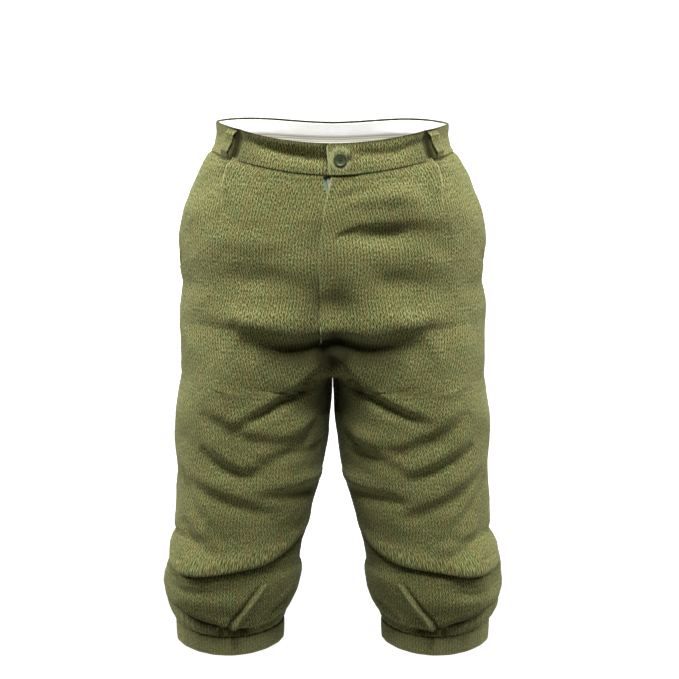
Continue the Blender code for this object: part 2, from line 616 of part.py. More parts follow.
def upright_frame(around, drop, height):
    """A place off the unfolded cloth, and a frame there: across, up, out as columns."""
    around, drop = np.array((around,)), np.array((drop,))
    normal = outward(base_point, around, drop)[0]
    out = np.array((0.0, normal[1], normal[2]))
    out /= np.linalg.norm(out)
    across = np.array((1.0, 0.0, 0.0))
    place = base_point(around, drop)[0] + out * height
    return place, np.stack((across, np.cross(out, across), out), axis=1)


def prism(name, outline, thickness, place, frame, colour, metallic, axis_order=(0, 1, 2)):
    """A closed slab: a flat outline given in two of the frame's axes, centred on the third."""
    count = len(outline)
    corners = []
    for level in (-thickness / 2, thickness / 2):
        for first, second in outline:
            offset = np.zeros(3)
            offset[axis_order[0]], offset[axis_order[1]] = first, second
            offset[axis_order[2]] = level
            corners.append(place + frame @ offset)
    faces = [tuple(range(count - 1, -1, -1)), tuple(range(count, 2 * count))]
    for index in range(count):
        following = (index + 1) % count
        faces.append((index, following, following + count, index + count))
    return mesh_object(name, [tuple(c) for c in corners], faces, colour, 0.35, metallic)


def combine(target, other, operation):
    """Joins or cuts target by other, which then only guides the shape."""
    other.hide_render = True
    other.display_type = "WIRE"
    modifier = target.modifiers.new(operation.title(), "BOOLEAN")
    modifier.operation = operation
    modifier.object = other
    modifier.solver = "EXACT"


SLIDER_DROP = 46 * MM          # middle of the slider, near the top of the chain
SLIDER_HALF_WIDTH = 4.5 * MM
SLIDER_HALF_HEIGHT = 5.0 * MM
SLIDER_WAIST = 3.3 * MM        # half width of its lower end
SLIDER_PLATE = 1.5 * MM
BAIL_HALF_WIDTH = 1.1 * MM
BAIL_HALF_HEIGHT = 3.4 * MM
BAIL_WIRE = 1.0 * MM
BAIL_OPENING = 1.7 * MM        # clear height between the plate and the bail's bridge
PULL_THICKNESS = 0.8 * MM
PULL_HALF_WIDTH = 2.7 * MM
PULL_BAR = 1.0 * MM            # the crossbar that runs under the bail
PULL_BAR_UP = 0.8 * MM         # its middle, above the slider's middle
PULL_LENGTH = 13 * MM
WINDOW_FOOT = -4.4 * MM        # lower end of the window round the bail's lower leg

SLIDER_SEAT = 0.7 * MM         # off the chain at its middle, where the chain bows

slider_height = TAPE_SEAT - TAPE_SAG_TOP + CHAIN_HEIGHT + SLIDER_SEAT
slider_round = ZIP_MIDDLE / float(BODY_LENGTHS[False](SLIDER_DROP))
slider_place, slider_frame = upright_frame(slider_round, SLIDER_DROP, slider_height)
slider_out = slider_frame[:, 2]

top, foot, waist = SLIDER_HALF_HEIGHT, -SLIDER_HALF_HEIGHT, SLIDER_WAIST
corner = 1.2 * MM
plate_outline = (
    (-waist, foot), (waist, foot), (SLIDER_HALF_WIDTH, 0.0), (SLIDER_HALF_WIDTH, top - corner),
    (SLIDER_HALF_WIDTH - corner, top), (-SLIDER_HALF_WIDTH + corner, top),
    (-SLIDER_HALF_WIDTH, top - corner), (-SLIDER_HALF_WIDTH, 0.0),
)
slider = prism("zip_slider", plate_outline, SLIDER_PLATE,
               slider_place + slider_out * SLIDER_PLATE / 2, slider_frame, METAL, 1.0)
bridge = BAIL_OPENING + BAIL_WIRE
sunk = -0.4 * MM               # the bail's legs run into the plate
half, wire = BAIL_HALF_HEIGHT, BAIL_WIRE
bail_outline = (
    (-half, sunk), (-half + wire, sunk), (-half + wire, BAIL_OPENING), (half - wire, BAIL_OPENING),
    (half - wire, sunk), (half, sunk), (half, bridge - wire / 2), (half - wire / 2, bridge),
    (-half + wire / 2, bridge), (-half, bridge - wire / 2),
)
bail = prism("slider_bail_guide", bail_outline, 2 * BAIL_HALF_WIDTH,
             slider_place + slider_out * SLIDER_PLATE, slider_frame, METAL, 1.0, (1, 2, 0))
combine(slider, bail, "UNION")

PULL_AXIS = slider_place + slider_frame @ np.array(
    (0.0, PULL_BAR_UP, SLIDER_PLATE + BAIL_OPENING / 2))
bar_top = PULL_BAR / 2
tip = bar_top - PULL_LENGTH
side_width = PULL_HALF_WIDTH
pull_outline = (
    (-side_width, tip + 1.5 * MM), (-side_width + 1.5 * MM, tip), (side_width - 1.5 * MM, tip),
    (side_width, tip + 1.5 * MM), (side_width, bar_top - 0.6 * MM),
    (side_width - 0.6 * MM, bar_top), (-side_width + 0.6 * MM, bar_top),
    (-side_width, bar_top - 0.6 * MM),
)
pull = prism("zip_pull", pull_outline, PULL_THICKNESS, np.zeros(3), slider_frame, METAL, 1.0)
window_side = BAIL_HALF_WIDTH + 0.5 * MM
window_top = bar_top - PULL_BAR
window_foot = WINDOW_FOOT - PULL_BAR_UP
window_outline = ((-window_side, window_foot), (window_side, window_foot),
                  (window_side, window_top), (-window_side, window_top))
window = prism("pull_window_guide", window_outline, 4 * PULL_THICKNESS, np.zeros(3),
               slider_frame, METAL, 1.0)
grip_outline = tuple((x, tip + 1.3 * MM + y) for x, y in (
    (-1.5 * MM, 0.0), (1.5 * MM, 0.0), (1.5 * MM, 3.6 * MM), (-1.5 * MM, 3.6 * MM)))
grip = prism("pull_grip_guide", grip_outline, 4 * PULL_THICKNESS, np.zeros(3),
             slider_frame, METAL, 1.0)
combine(pull, window, "DIFFERENCE")
combine(pull, grip, "DIFFERENCE")
for thing in (pull, window, grip):
    thing.location = PULL_AXIS

# ---------------------------------------------------------------- button
BUTTON_X = 11 * MM
BUTTON_DROP = 20 * MM
BUTTON_SIDES = 24
BUTTON_PROFILE = (             # radius and height in mm, from the back's middle to the front's
    (7.0, 0.0), (8.2, 0.9), (8.2, 2.3), (7.5, 3.1), (6.3, 3.1), (5.4, 2.3),
)
HOLE_RADIUS = 0.9 * MM
HOLE_OFFSET = 1.45 * MM
HOLE_TURN = math.radians(20)

button_round = BUTTON_X / float(BODY_LENGTHS[False](BUTTON_DROP))
button_place, button_frame = upright_frame(button_round, BUTTON_DROP,
                                           BAND_OUT + TAB_LIFT + SEAM_GAP)
turned = []
for radius, height in BUTTON_PROFILE:
    for index in range(BUTTON_SIDES):
        angle = 2.0 * math.pi * index / BUTTON_SIDES
        spot = np.array((radius * math.cos(angle), radius * math.sin(angle), height)) * MM
        turned.append(tuple(button_place + button_frame @ spot))
rings = len(BUTTON_PROFILE)
disc_faces = [tuple(range(BUTTON_SIDES - 1, -1, -1)),
              tuple((rings - 1) * BUTTON_SIDES + index for index in range(BUTTON_SIDES))]
for ring in range(rings - 1):
    for index in range(BUTTON_SIDES):
        here = ring * BUTTON_SIDES + index
        beside = ring * BUTTON_SIDES + (index + 1) % BUTTON_SIDES
        disc_faces.append((here, beside, beside + BUTTON_SIDES, here + BUTTON_SIDES))
button = mesh_object("button", turned, disc_faces, BUTTON_COLOUR, 0.35)
for number in range(4):
    angle = HOLE_TURN + math.pi / 4 + number * math.pi / 2
    middle = (HOLE_OFFSET * math.sqrt(2) * math.cos(angle),
              HOLE_OFFSET * math.sqrt(2) * math.sin(angle))
    rim = tuple((middle[0] + HOLE_RADIUS * math.cos(step * math.pi / 4),
                 middle[1] + HOLE_RADIUS * math.sin(step * math.pi / 4)) for step in range(8))
    drill = prism(f"button_hole_guide_{number + 1}", rim, 20 * MM, button_place, button_frame,
                  BUTTON_COLOUR, 0.0)
    combine(button, drill, "DIFFERENCE")
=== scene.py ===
import math

import bpy
import numpy as np
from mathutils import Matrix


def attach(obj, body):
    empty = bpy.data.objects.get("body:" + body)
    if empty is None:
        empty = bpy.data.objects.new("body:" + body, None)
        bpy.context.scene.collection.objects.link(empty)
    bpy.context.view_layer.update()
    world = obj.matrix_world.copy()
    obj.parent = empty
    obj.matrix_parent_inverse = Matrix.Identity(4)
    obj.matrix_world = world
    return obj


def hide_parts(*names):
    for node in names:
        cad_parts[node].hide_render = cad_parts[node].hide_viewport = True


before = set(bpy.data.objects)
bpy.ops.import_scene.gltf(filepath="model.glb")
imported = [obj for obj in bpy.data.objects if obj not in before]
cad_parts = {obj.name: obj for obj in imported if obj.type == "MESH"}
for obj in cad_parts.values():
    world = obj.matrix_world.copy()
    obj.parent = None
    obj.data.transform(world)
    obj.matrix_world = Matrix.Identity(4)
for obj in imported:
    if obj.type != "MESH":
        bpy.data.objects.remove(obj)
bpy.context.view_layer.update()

MM = 0.001

# ---------------------------------------------------------------------------- camera
# Seen from the front, a little above the waist, from nearly three metres away.
CAMERA_TILT = 8.96             # degrees down from level


def add_object(name, data):
    """Puts a new object with this data into the scene."""
    made = bpy.data.objects.new(name, data)
    bpy.context.scene.collection.objects.link(made)
    return made


camera = add_object("camera", bpy.data.cameras.new("camera"))
camera.location = (0.0096, -2.84, 0.15)
camera.rotation_euler = (math.radians(90.0 - CAMERA_TILT), 0.0, 0.0)
camera.data.sensor_width = 36.0
camera.data.lens = 110.12
camera.data.clip_end = 60.0
bpy.context.scene.camera = camera

# ---------------------------------------------------------------------------- front panels
# Two shaped pieces of tweed, cut on the straight grain, that run from the fly to the
# pocket's mouth and the side seam. They blouse over the knee and are sewn to the cuffs.
CLOTH = 1.7 * MM
SEAM_GAP = 0.3 * MM
CROTCH_DROP = 352 * MM
BAND_HEIGHT = 38 * MM
CUFF_TOP = 699.4 * MM
CUFF_BOTTOM = 726.5 * MM
FRONT_FORK_RISE = 85 * MM
BACK_FORK_RISE = 130 * MM
FORK_ROUNDING = 18 * MM
FRONT_DIP = 19.6 * MM
FRONT_SEAM_DIP = 23.6 * MM
BACK_DIP = 3 * MM
BACK_RISE = 4.5 * MM           # the band stands this much higher beside the centre back
DIP_END = 200 * MM
FACE_WIDTH = 300 * MM

# Sections of the tube, in millimetres: drop, outer and inner half widths from the
# middle plane, front and back depths, the side seam's own y, and the section's
# superellipse exponent (2 is an ellipse, more is squarer).
SECTION_COLUMNS = ("drop", "outer", "inner", "front", "back", "seam", "power")
SECTIONS = np.array((
    (0.0, 157.8, 0.0, -113.0, 113.0, 0.0, 2.00),
    (29.0, 159.2, 0.0, -116.2, 119.5, 0.8, 2.05),
    (37.0, 164.0, 0.0, -117.2, 121.3, 1.0, 2.07),
    (44.0, 170.5, 0.0, -118.0, 123.0, 1.5, 2.10),
    (55.0, 177.5, 0.0, -120.0, 127.0, 2.0, 2.14),
    (77.0, 188.7, 0.0, -124.0, 133.0, 3.0, 2.18),
    (99.0, 198.5, 0.0, -128.0, 140.0, 4.0, 2.22),
    (121.0, 206.0, 0.0, -130.0, 144.0, 5.0, 2.26),
    (154.0, 210.0, 0.0, -132.0, 151.0, 7.0, 2.30),
    (176.0, 211.0, 0.0, -133.0, 154.0, 8.0, 2.30),
    (198.0, 209.0, 0.0, -133.0, 155.0, 8.0, 2.30),
    (215.0, 206.0, 0.0, -133.0, 155.0, 8.0, 2.30),
    (231.0, 208.0, 0.0, -132.5, 154.0, 8.0, 2.30),
    (254.0, 211.3, 0.0, -132.0, 152.0, 8.0, 2.30),
    (299.0, 210.4, 0.0, -128.0, 145.0, 7.0, 2.28),
    (343.0, 209.4, 0.0, -122.0, 133.0, 6.0, 2.24),
    (352.0, 210.6, 0.0, -121.0, 131.0, 6.0, 2.22),
    (366.0, 213.3, 0.7, -120.0, 128.0, 5.5, 2.20),
    (400.0, 218.3, 2.75, -117.0, 120.0, 4.5, 2.20),
    (428.0, 218.6, 5.3, -114.0, 114.0, 3.0, 2.18),
    (457.0, 219.0, 9.8, -111.0, 108.5, 2.0, 2.16),
    (485.0, 216.8, 16.0, -109.0, 103.0, 0.0, 2.15),
    (526.0, 219.3, 27.3, -106.0, 96.0, -3.0, 2.15),
    (550.0, 220.3, 34.0, -104.0, 92.0, -5.0, 2.15),
    (560.0, 218.3, 36.5, -103.0, 91.0, -6.0, 2.15),
    (571.0, 224.0, 40.0, -103.5, 90.0, -6.0, 2.15),
    (583.0, 229.0, 43.6, -104.0, 89.0, -6.0, 2.15),
    (606.0, 233.7, 46.4, -103.0, 88.0, -6.0, 2.15),
    (618.0, 235.3, 43.6, -102.5, 88.5, -6.0, 2.15),
    (635.0, 235.3, 45.6, -100.5, 90.0, -5.5, 2.14),
    (664.0, 233.0, 54.3, -93.0, 88.0, -3.0, 2.10),
    (688.0, 225.5, 65.7, -82.0, 80.0, -1.0, 2.04),
    (699.4, 220.5, 69.0, -75.0, 72.0, 0.0, 2.00),
    (726.5, 219.0, 70.0, -72.0, 70.0, 0.0, 2.00),
))


def smooth_curve(places, values):
    """A curve through the table's points that never swings past them."""
    slopes = np.diff(values) / np.diff(places)
    tangents = np.zeros(len(places))
    tangents[0], tangents[-1] = slopes[0], slopes[-1]
    same_way = slopes[:-1] * slopes[1:] > 0.0
    both = np.where(same_way, slopes[:-1] + slopes[1:], 1.0)
    tangents[1:-1] = np.where(same_way, 2.0 * slopes[:-1] * slopes[1:] / both, 0.0)

    def value_at(place):
        place = np.clip(place, places[0], places[-1])
        span = np.clip(np.searchsorted(places, place, side="right") - 1, 0, len(places) - 2)
        width = places[span + 1] - places[span]
        t = (place - places[span]) / width
        return (values[span] * (1 + 2 * t) * (1 - t) ** 2
                + tangents[span] * width * t * (1 - t) ** 2
                + values[span + 1] * t * t * (3 - 2 * t)
                + tangents[span + 1] * width * t * t * (t - 1))
    return value_at


SECTION_AT = {
    column: smooth_curve(SECTIONS[:, 0] * MM,
                         SECTIONS[:, index] * (1.0 if column == "power" else MM))
    for index, column in enumerate(SECTION_COLUMNS)
}
ARC_STEPS = 90                 # of a section's face, for measuring round it


def fade(value, start, end):
    """0 at start, 1 at end, smooth between."""
    t = np.clip((value - start) / (end - start), 0.0, 1.0)
    return t * t * (3.0 - 2.0 * t)


def section_point(share, drop, back):
    """x and y on a face: share 0 is the centre line or inseam, 1 is the outseam."""
    outer, inner = SECTION_AT["outer"](drop), SECTION_AT["inner"](drop)
    seam, power = SECTION_AT["seam"](drop), SECTION_AT["power"](drop)
    depth = np.where(back, SECTION_AT["back"](drop), SECTION_AT["front"](drop)) - seam
    rise = np.where(back, BACK_FORK_RISE, FRONT_FORK_RISE)
    above = drop < CROTCH_DROP
    parted = np.clip(1.0 - (CROTCH_DROP - drop) / rise, 0.0, 1.0)
    half = np.where(above, outer / (1.0 + parted), (outer - inner) / 2.0)
    middle = np.where(above, parted * half, (outer + inner) / 2.0)
    rounding = np.where(above, FORK_ROUNDING * 4.0 * parted * (1.0 - parted), 0.0)
    reach = np.where(above, (middle - rounding) / half, 1.0)
    start = np.arccos(np.clip(reach, 0.0, 1.0) ** (power / 2.0))
    turn = np.linspace(0.0, 1.0, ARC_STEPS + 1)
    angle = start[:, None] + (math.pi - start[:, None]) * turn
    bend = (2.0 / power)[:, None]
    cosine, sine = np.cos(angle), np.clip(np.sin(angle), 0.0, 1.0)
    x = middle[:, None] - half[:, None] * np.sign(cosine) * np.abs(cosine) ** bend
    y = seam[:, None] + depth[:, None] * sine ** bend
    narrowed = np.sqrt(np.maximum(x * x - rounding[:, None] ** 2, 0.0))
    full = np.sqrt(outer * outer - rounding * rounding)
    x = np.where(above[:, None], narrowed * (outer / full)[:, None], x)
    steps = np.hypot(np.diff(x, axis=1), np.diff(y, axis=1))
    length = np.concatenate((np.zeros((len(x), 1)), np.cumsum(steps, axis=1)), axis=1)
    wanted = share * length[:, -1]
    cell = np.clip((length < wanted[:, None]).sum(axis=1) - 1, 0, ARC_STEPS - 1)
    row = np.arange(len(x))
    t = (wanted - length[row, cell]) / np.maximum(length[row, cell + 1] - length[row, cell], 1e-12)
    return (x[row, cell] + t * (x[row, cell + 1] - x[row, cell]),
            y[row, cell] + t * (y[row, cell + 1] - y[row, cell]))


def base_point(around, drop):
    """The smooth tube without folds, one point for each pair of coordinates."""
    past_end = (around < 0.0) | (around > 2.0)
    above = drop < CROTCH_DROP
    mirrored = np.where(around < 0.0, -around, 4.0 - around)
    wrapped = np.where(around < 0.0, around + 2.0, around - 2.0)
    inside = np.where(past_end, np.where(above, mirrored, wrapped), around)
    back = inside > 1.0
    x, y = section_point(np.where(back, 2.0 - inside, inside), drop, back)
    x = np.where(past_end & above, -x, x)
    top = np.clip(drop / BAND_HEIGHT, 0.0, 1.0)
    front_dip = FRONT_DIP + (FRONT_SEAM_DIP - FRONT_DIP) * top
    dip = np.where(back, BACK_DIP, front_dip) * (1.0 - fade(drop, BAND_HEIGHT, DIP_END))
    z = -drop - dip * np.cos(inside * math.pi / 2.0) ** 2
    rise = np.where(back, BACK_RISE, 0.0) * (1.0 - fade(drop, 0.0, 2.0 * BAND_HEIGHT))
    z = z + rise * np.sin(inside * math.pi) ** 2
    return np.stack((x, y, z), axis=1)


# A row for each large fold: the wearer's side it is on (1 left, -1 right, 0 both), its
# route through three places (round, drop in mm), and in mm the trough's depth, its half
# width, the height of the ridge beside it, and how far that ridge leans over the
# trough. The ridge lies on the upper side of a route that runs with growing round. A
# sharp crease has painted shading, too: how dark shade is painted in its trough, or below
# 0 how pale a highlight is painted on its ridge. A row without depth is no fold: it only
# paints shade dark over a hollow, or below 0 paints a paler band of light.
FOLD_COLUMNS = ("side", "start", "middle", "end", "depth", "width", "ridge", "lean", "painted_shading")
FRONT_FOLDS = (
    (0, (-0.45, 286), (0.0, 291), (0.45, 286), 12.5, 17, 6, 5, 0.15),
    (0, (-0.50, 282), (0.0, 286), (0.50, 282), 0, 50, 0, 0, 0.42),
    (-1, (0.43, 424), (0.57, 408), (0.70, 382), 4.5, 11, 3.5, 1),
    (-1, (0.17, 400), (0.32, 420), (0.45, 426), 4.5, 11, 3, 1),
    (-1, (0.44, 462), (0.56, 464), (0.70, 430), 5.5, 10, 4, 1.5),
    (-1, (0.23, 424), (0.36, 440), (0.47, 462), 4, 10, 3, 0.5),
    (-1, (0.36, 524), (0.58, 504), (0.77, 478), 4, 10, 3.2, 1),
    (-1, (0.01, 502), (0.29, 496), (0.45, 502), 5, 10.5, 4, 1.5),
    (-1, (0.53, 584), (0.69, 568), (0.80, 532), 4, 10, 3, 0.5),
    (-1, (0.66, 542), (0.74, 506), (0.82, 466), 3, 8, 2.5, 0),
    (-1, (0.10, 680), (0.37, 688), (0.56, 686), 5, 7, 2.5, 3),
    (1, (0.12, 424), (0.33, 434), (0.47, 436), 4.5, 11, 3, 1),
    (1, (0.42, 438), (0.58, 416), (0.72, 382), 4.5, 11, 3.5, 1),
    (1, (0.21, 434), (0.35, 450), (0.46, 464), 4.5, 11, 3, 1),
    (1, (0.45, 474), (0.60, 458), (0.75, 428), 5.5, 10, 4, 1.5),
    (1, (0.03, 502), (0.29, 500), (0.44, 512), 5, 10.5, 4, 1.5),
    (1, (0.38, 532), (0.62, 504), (0.82, 466), 4, 10, 3.2, 1),
    (1, (0.51, 588), (0.67, 574), (0.81, 544), 4, 10, 3, 0.5),
    (1, (0.64, 542), (0.75, 510), (0.85, 480), 3, 8, 2.5, 0),
    (1, (0.08, 684), (0.36, 690), (0.58, 696), 5, 7, 2.5, 3),
    (1, (0.04, 138), (0.06, 130), (0.19, 116), 2, 6, 1, 0.5),
    (1, (0.24, 110), (0.48, 126), (0.72, 114), 0, 64, 0, 0, 0.38),
    (-1, (-0.03, 196), (0.06, 232), (0.11, 266), 0, 60, 0, 0, 0.42),
    (-1, (0.0, 84), (0.05, 124), (0.08, 168), 0, 44, 0, 0, 0.25),
    (1, (-0.03, 200), (0.05, 232), (0.09, 262), 0, 46, 0, 0, 0.16),
    (1, (0.03, 72), (0.12, 64), (0.23, 58), 3, 7, 1.5, 0.5),
    (-1, (0.02, 545), (0.49, 598), (0.90, 602), 9.5, 7, 7, 12, 0.7),
    (1, (0.03, 555), (0.49, 598), (0.90, 608), 9.5, 7, 7, 12, 0.7),
    (0, (0.36, 694), (0.78, 671), (1.28, 609), 9, 8, 3.5, 0.8, 1.9),
    (0, (0.38, 688), (0.78, 662), (1.25, 606), 0, 18, 0, 0, 0.7),
    (0, (0.36, 716), (0.78, 700), (1.25, 648), 0, 12, 0, 0, -0.25),
    (0, (0.56, 706), (0.45, 664), (0.345, 618), 4, 3.4, 6.2, 2, -0.4),
    (0, (0.57, 704), (0.46, 664), (0.36, 620), 0, 5, 0, 0, 0.7),
)
# The two creases that run out from the fork, and the hollow under it, with shade painted
# dark along them. Their places are seen flat from the front, x / 300 mm and drop, because
# the panels' own columns spread out there.
FORK_FOLDS = (
    (-1, (-0.08, 302), (0.163, 356), (0.45, 404), 9, 8, 3, 0, 0.2),
    (1, (-0.06, 296), (0.135, 354), (0.45, 398), 8.5, 8, 3, 0, 0.2),
    (0, (-0.14, 304), (0.11, 309), (0.34, 301), 0, 34, 0, 0, 0.85),
    (0, (0.0, 262), (0.0, 300), (0.0, 338), 4, 34, 0, 0, 0.9),
    (0, (0.0, 300), (0.0, 345), (0.0, 396), 5, 16, 0, 0, 0.35),
    (0, (0.03, 334), (0.055, 404), (0.08, 476), 4.5, 20, 0, 0, 0.3),
)
BACK_FOLDS = (
    (-1, (1.46, 402), (1.72, 382), (1.95, 366), 5.0, 11, 3.5, 1.0),
    (-1, (1.24, 446), (1.52, 458), (1.84, 440), 5.0, 11, 3.5, 1.5),
    (-1, (1.12, 508), (1.38, 520), (1.66, 506), 4.5, 10, 3.0, 1.0),
    (-1, (1.16, 572), (1.50, 556), (1.90, 566), 8.0, 11, 5.5, 4.0),
    (-1, (1.20, 618), (1.54, 606), (1.86, 622), 6.0, 10, 4.0, 3.0),
    (-1, (1.08, 654), (1.48, 680), (1.90, 660), 6.0, 10, 2.0, 4.0),
    (-1, (1.00, 216), (1.22, 222), (1.42, 232), 2.5, 15, 1.5, 0.0),
    (1, (1.44, 398), (1.70, 380), (1.94, 364), 5.0, 11, 3.5, 1.0),
    (1, (1.26, 440), (1.54, 454), (1.86, 444), 5.0, 11, 3.5, 1.5),
    (1, (1.10, 514), (1.36, 522), (1.62, 502), 4.5, 10, 3.0, 1.0),
    (1, (1.18, 566), (1.52, 553), (1.88, 570), 8.0, 11, 5.5, 4.0),
    (1, (1.22, 622), (1.56, 608), (1.88, 616), 6.0, 10, 4.0, 3.0),
    (1, (1.10, 650), (1.50, 679), (1.92, 656), 6.0, 10, 2.0, 4.0),
)
# Broad swells and hollows of the worn cloth, each with its middle (round, drop in mm),
# its reach across and down and its height in mm.
FORM_COLUMNS = ("side", "middle", "across", "down", "height")
FORMS = (
    (-1, (0.35, 252), 50, 15, 12.5),
    (1, (0.36, 252), 50, 15, 9),
    (-1, (0.36, 202), 50, 17, -7.5),
    (1, (0.36, 204), 50, 17, -6.5),
    (1, (0.29, 74), 52, 14, 8),
    (1, (0.24, 132), 56, 15, -14),
    (0, (0.01, 242), 32, 34, -19),
    (0, (0.64, 648), 60, 17, 6),
    (-1, (0.33, 146), 55, 14, 2),
    (0, (0.01, 288), 44, 22, -12),
    (-1, (0.61, 594), 62, 24, 6.5),
    (1, (0.61, 596), 62, 24, 6.5),
    (-1, (0.99, 604), 45, 18, -3.5),
    (-1, (0.99, 645), 40, 10, -3),
)
# Smaller creases in the same columns, too fine to matter to the solid.
SMALL_FOLDS = (
    (-1, (0.08, 430), (0.22, 440), (0.40, 436), 1.4, 6, 1.0, 0.4),
    (-1, (0.56, 628), (0.70, 634), (0.88, 618), 1.6, 6, 1.2, 0.4),
    (-1, (0.16, 648), (0.26, 662), (0.34, 684), 1.8, 5, 1.4, 0.5),
    (1, (0.08, 434), (0.24, 446), (0.42, 442), 1.4, 6, 1.0, 0.4),
    (1, (0.58, 632), (0.72, 638), (0.88, 624), 1.6, 6, 1.2, 0.4),
    (1, (0.14, 652), (0.24, 666), (0.32, 688), 1.8, 5, 1.4, 0.5),
    (-1, (1.30, 344), (1.58, 352), (1.90, 330), 1.6, 8, 1.2, 0.0),
    (-1, (1.30, 480), (1.56, 488), (1.84, 474), 2.0, 7, 1.4, 0.4),
    (-1, (1.28, 592), (1.56, 580), (1.84, 590), 2.4, 6, 1.8, 0.8),
    (-1, (1.42, 692), (1.44, 664), (1.49, 642), 2.2, 5, 1.6, 0.6),
    (-1, (1.68, 692), (1.70, 668), (1.74, 648), 2.2, 5, 1.6, 0.6),
    (1, (1.28, 340), (1.56, 350), (1.90, 328), 1.6, 8, 1.2, 0.0),
    (1, (1.32, 484), (1.58, 490), (1.86, 476), 2.0, 7, 1.4, 0.4),
    (1, (1.30, 596), (1.58, 582), (1.86, 594), 2.4, 6, 1.8, 0.8),
    (1, (1.40, 692), (1.42, 666), (1.47, 644), 2.2, 5, 1.6, 0.6),
    (1, (1.66, 692), (1.68, 666), (1.72, 646), 2.2, 5, 1.6, 0.6),
)
RIDGE_PLACE = 1.5              # ridge and lean sit this many half widths above the trough
LEAN_PLACE = 1.3
LEAN_WIDTH = 0.9
PAINTED_SHADING_WIDTH = 0.45
OUT_OF_REACH = 9.0             # metres


def beside_fold(fold, across, drop):
    """How far points lie from a fold's route, in its half widths, and on which side of
    it, what share of the route is behind them, and the route's direction there."""
    unit = np.array((FACE_WIDTH, MM))
    start, middle, end = (np.array(fold[key]) * unit for key in ("start", "middle", "end"))
    control = 2.0 * middle - (start + end) / 2.0
    t = np.linspace(0.0, 1.0, 25)[:, None]
    route = start * (1 - t) ** 2 + 2 * control * t * (1 - t) + end * t * t
    piece = np.diff(route, axis=0)
    piece_length = np.hypot(piece[:, 0], piece[:, 1])
    from_start = np.stack((across, drop), axis=1)[:, None, :] - route[None, :-1, :]
    along = np.clip((from_start * piece).sum(axis=2) / piece_length ** 2, 0.0, 1.0)
    gap = from_start - along[:, :, None] * piece
    distance = np.hypot(gap[:, :, 0], gap[:, :, 1])
    nearest = distance.argmin(axis=1)
    point = np.arange(len(across))
    direction = piece[nearest] / piece_length[nearest][:, None]
    gap = gap[point, nearest]
    upward = gap[:, 0] * direction[:, 1] - gap[:, 1] * direction[:, 0]
    far = distance[point, nearest] / (fold["width"] * MM)
    return far, np.sign(upward) * far, (nearest + along[point, nearest]) / len(piece), direction


def wandered(across, drop):
    """The same places, off by a millimetre here and there, so that no fold is a plain arc."""
    across = across + 1.2 * MM * np.sin(drop / (17 * MM) + np.sin(across / (31 * MM)))
    return across, drop + 1.0 * MM * np.sin(across / (23 * MM) + np.sin(drop / (37 * MM)) + 1.0)


def seen_flat(around, drop):
    """Across and down places as seen from the front; the back's are out of reach."""
    x, _, z = base_point(around, drop).T
    return np.where(around < 1.0, x, OUT_OF_REACH), -z


def fold_strength(travelled):
    """None at a fold's two ends, and full halfway."""
    return (4.0 * travelled * (1.0 - travelled)) ** 0.5


def painted_crease_shading(side, around, drop):
    """The painted shading of the sharp creases: shade painted dark in a trough, and a highlight
    painted pale on a ridge.
    """
    on_cloth = wandered(around * FACE_WIDTH, drop)
    from_front = seen_flat(around, drop)
    wear_and_painted_light = np.zeros(len(around))
    for row in FRONT_FOLDS + FORK_FOLDS:
        fold = dict(zip(FOLD_COLUMNS, row))
        painted_shading = fold.get("painted_shading", 0.0)
        if fold["side"] in (0, side) and painted_shading:
            spots = from_front if row in FORK_FOLDS else on_cloth
            far, side_step, travelled, _ = beside_fold(fold, *spots)
            place = far if painted_shading > 0.0 else side_step - RIDGE_PLACE
            wear_and_painted_light -= painted_shading * fold_strength(travelled) * np.exp(-(place / PAINTED_SHADING_WIDTH) ** 2)
    return wear_and_painted_light * (1.0 - fade(drop, CUFF_TOP - 4 * MM, CUFF_TOP))


def fold_fields(side, around, drop):
    """Height off the smooth tube, and the shift along it, that the folds give."""
    height = np.zeros(len(around))
    shift_across = np.zeros(len(around))
    shift_down = np.zeros(len(around))
    across = around * FACE_WIDTH
    below_fork = fade(drop, CROTCH_DROP - 6 * MM, CROTCH_DROP + 6 * MM)
    from_seam = np.minimum(np.abs(across), np.abs(2.0 * FACE_WIDTH - across))
    held = 1.0 - below_fork * (1.0 - fade(from_seam, 0.0, 9 * MM))
    on_cloth, from_front = wandered(across, drop), seen_flat(around, drop)
    for row in FRONT_FOLDS + FORK_FOLDS + BACK_FOLDS + SMALL_FOLDS:
        fold = dict(zip(FOLD_COLUMNS, row))
        if fold["side"] not in (0, side):
            continue
        spots = from_front if row in FORK_FOLDS else on_cloth
        far, side_step, travelled, direction = beside_fold(fold, *spots)
        strength = fold_strength(travelled)
        strength = strength * (1.0 + 0.12 * np.sin(across / (19 * MM) + drop / (27 * MM)))
        trough = -fold["depth"] * np.exp(-far ** 2)
        ridge = fold["ridge"] * np.exp(-(side_step - RIDGE_PLACE) ** 2)
        lean = fold["lean"] * np.exp(-((side_step - LEAN_PLACE) / LEAN_WIDTH) ** 2)
        height += strength * (trough + ridge) * MM
        shift_across -= strength * lean * MM * direction[:, 1]
        shift_down += strength * lean * MM * direction[:, 0]
    for row in FORMS:
        form = dict(zip(FORM_COLUMNS, row))
        if form["side"] in (0, side):
            aside = (across - form["middle"][0] * FACE_WIDTH) / (form["across"] * MM)
            below = (drop - form["middle"][1] * MM) / (form["down"] * MM)
            height += form["height"] * MM * np.exp(-aside ** 2 - below ** 2)
    quiet = fade(drop, BAND_HEIGHT, BAND_HEIGHT + 20 * MM)
    quiet = held * quiet * (1.0 - fade(drop, CUFF_TOP - 6 * MM, CUFF_TOP - 1 * MM))
    return height * quiet, shift_across * quiet / FACE_WIDTH, shift_down * quiet


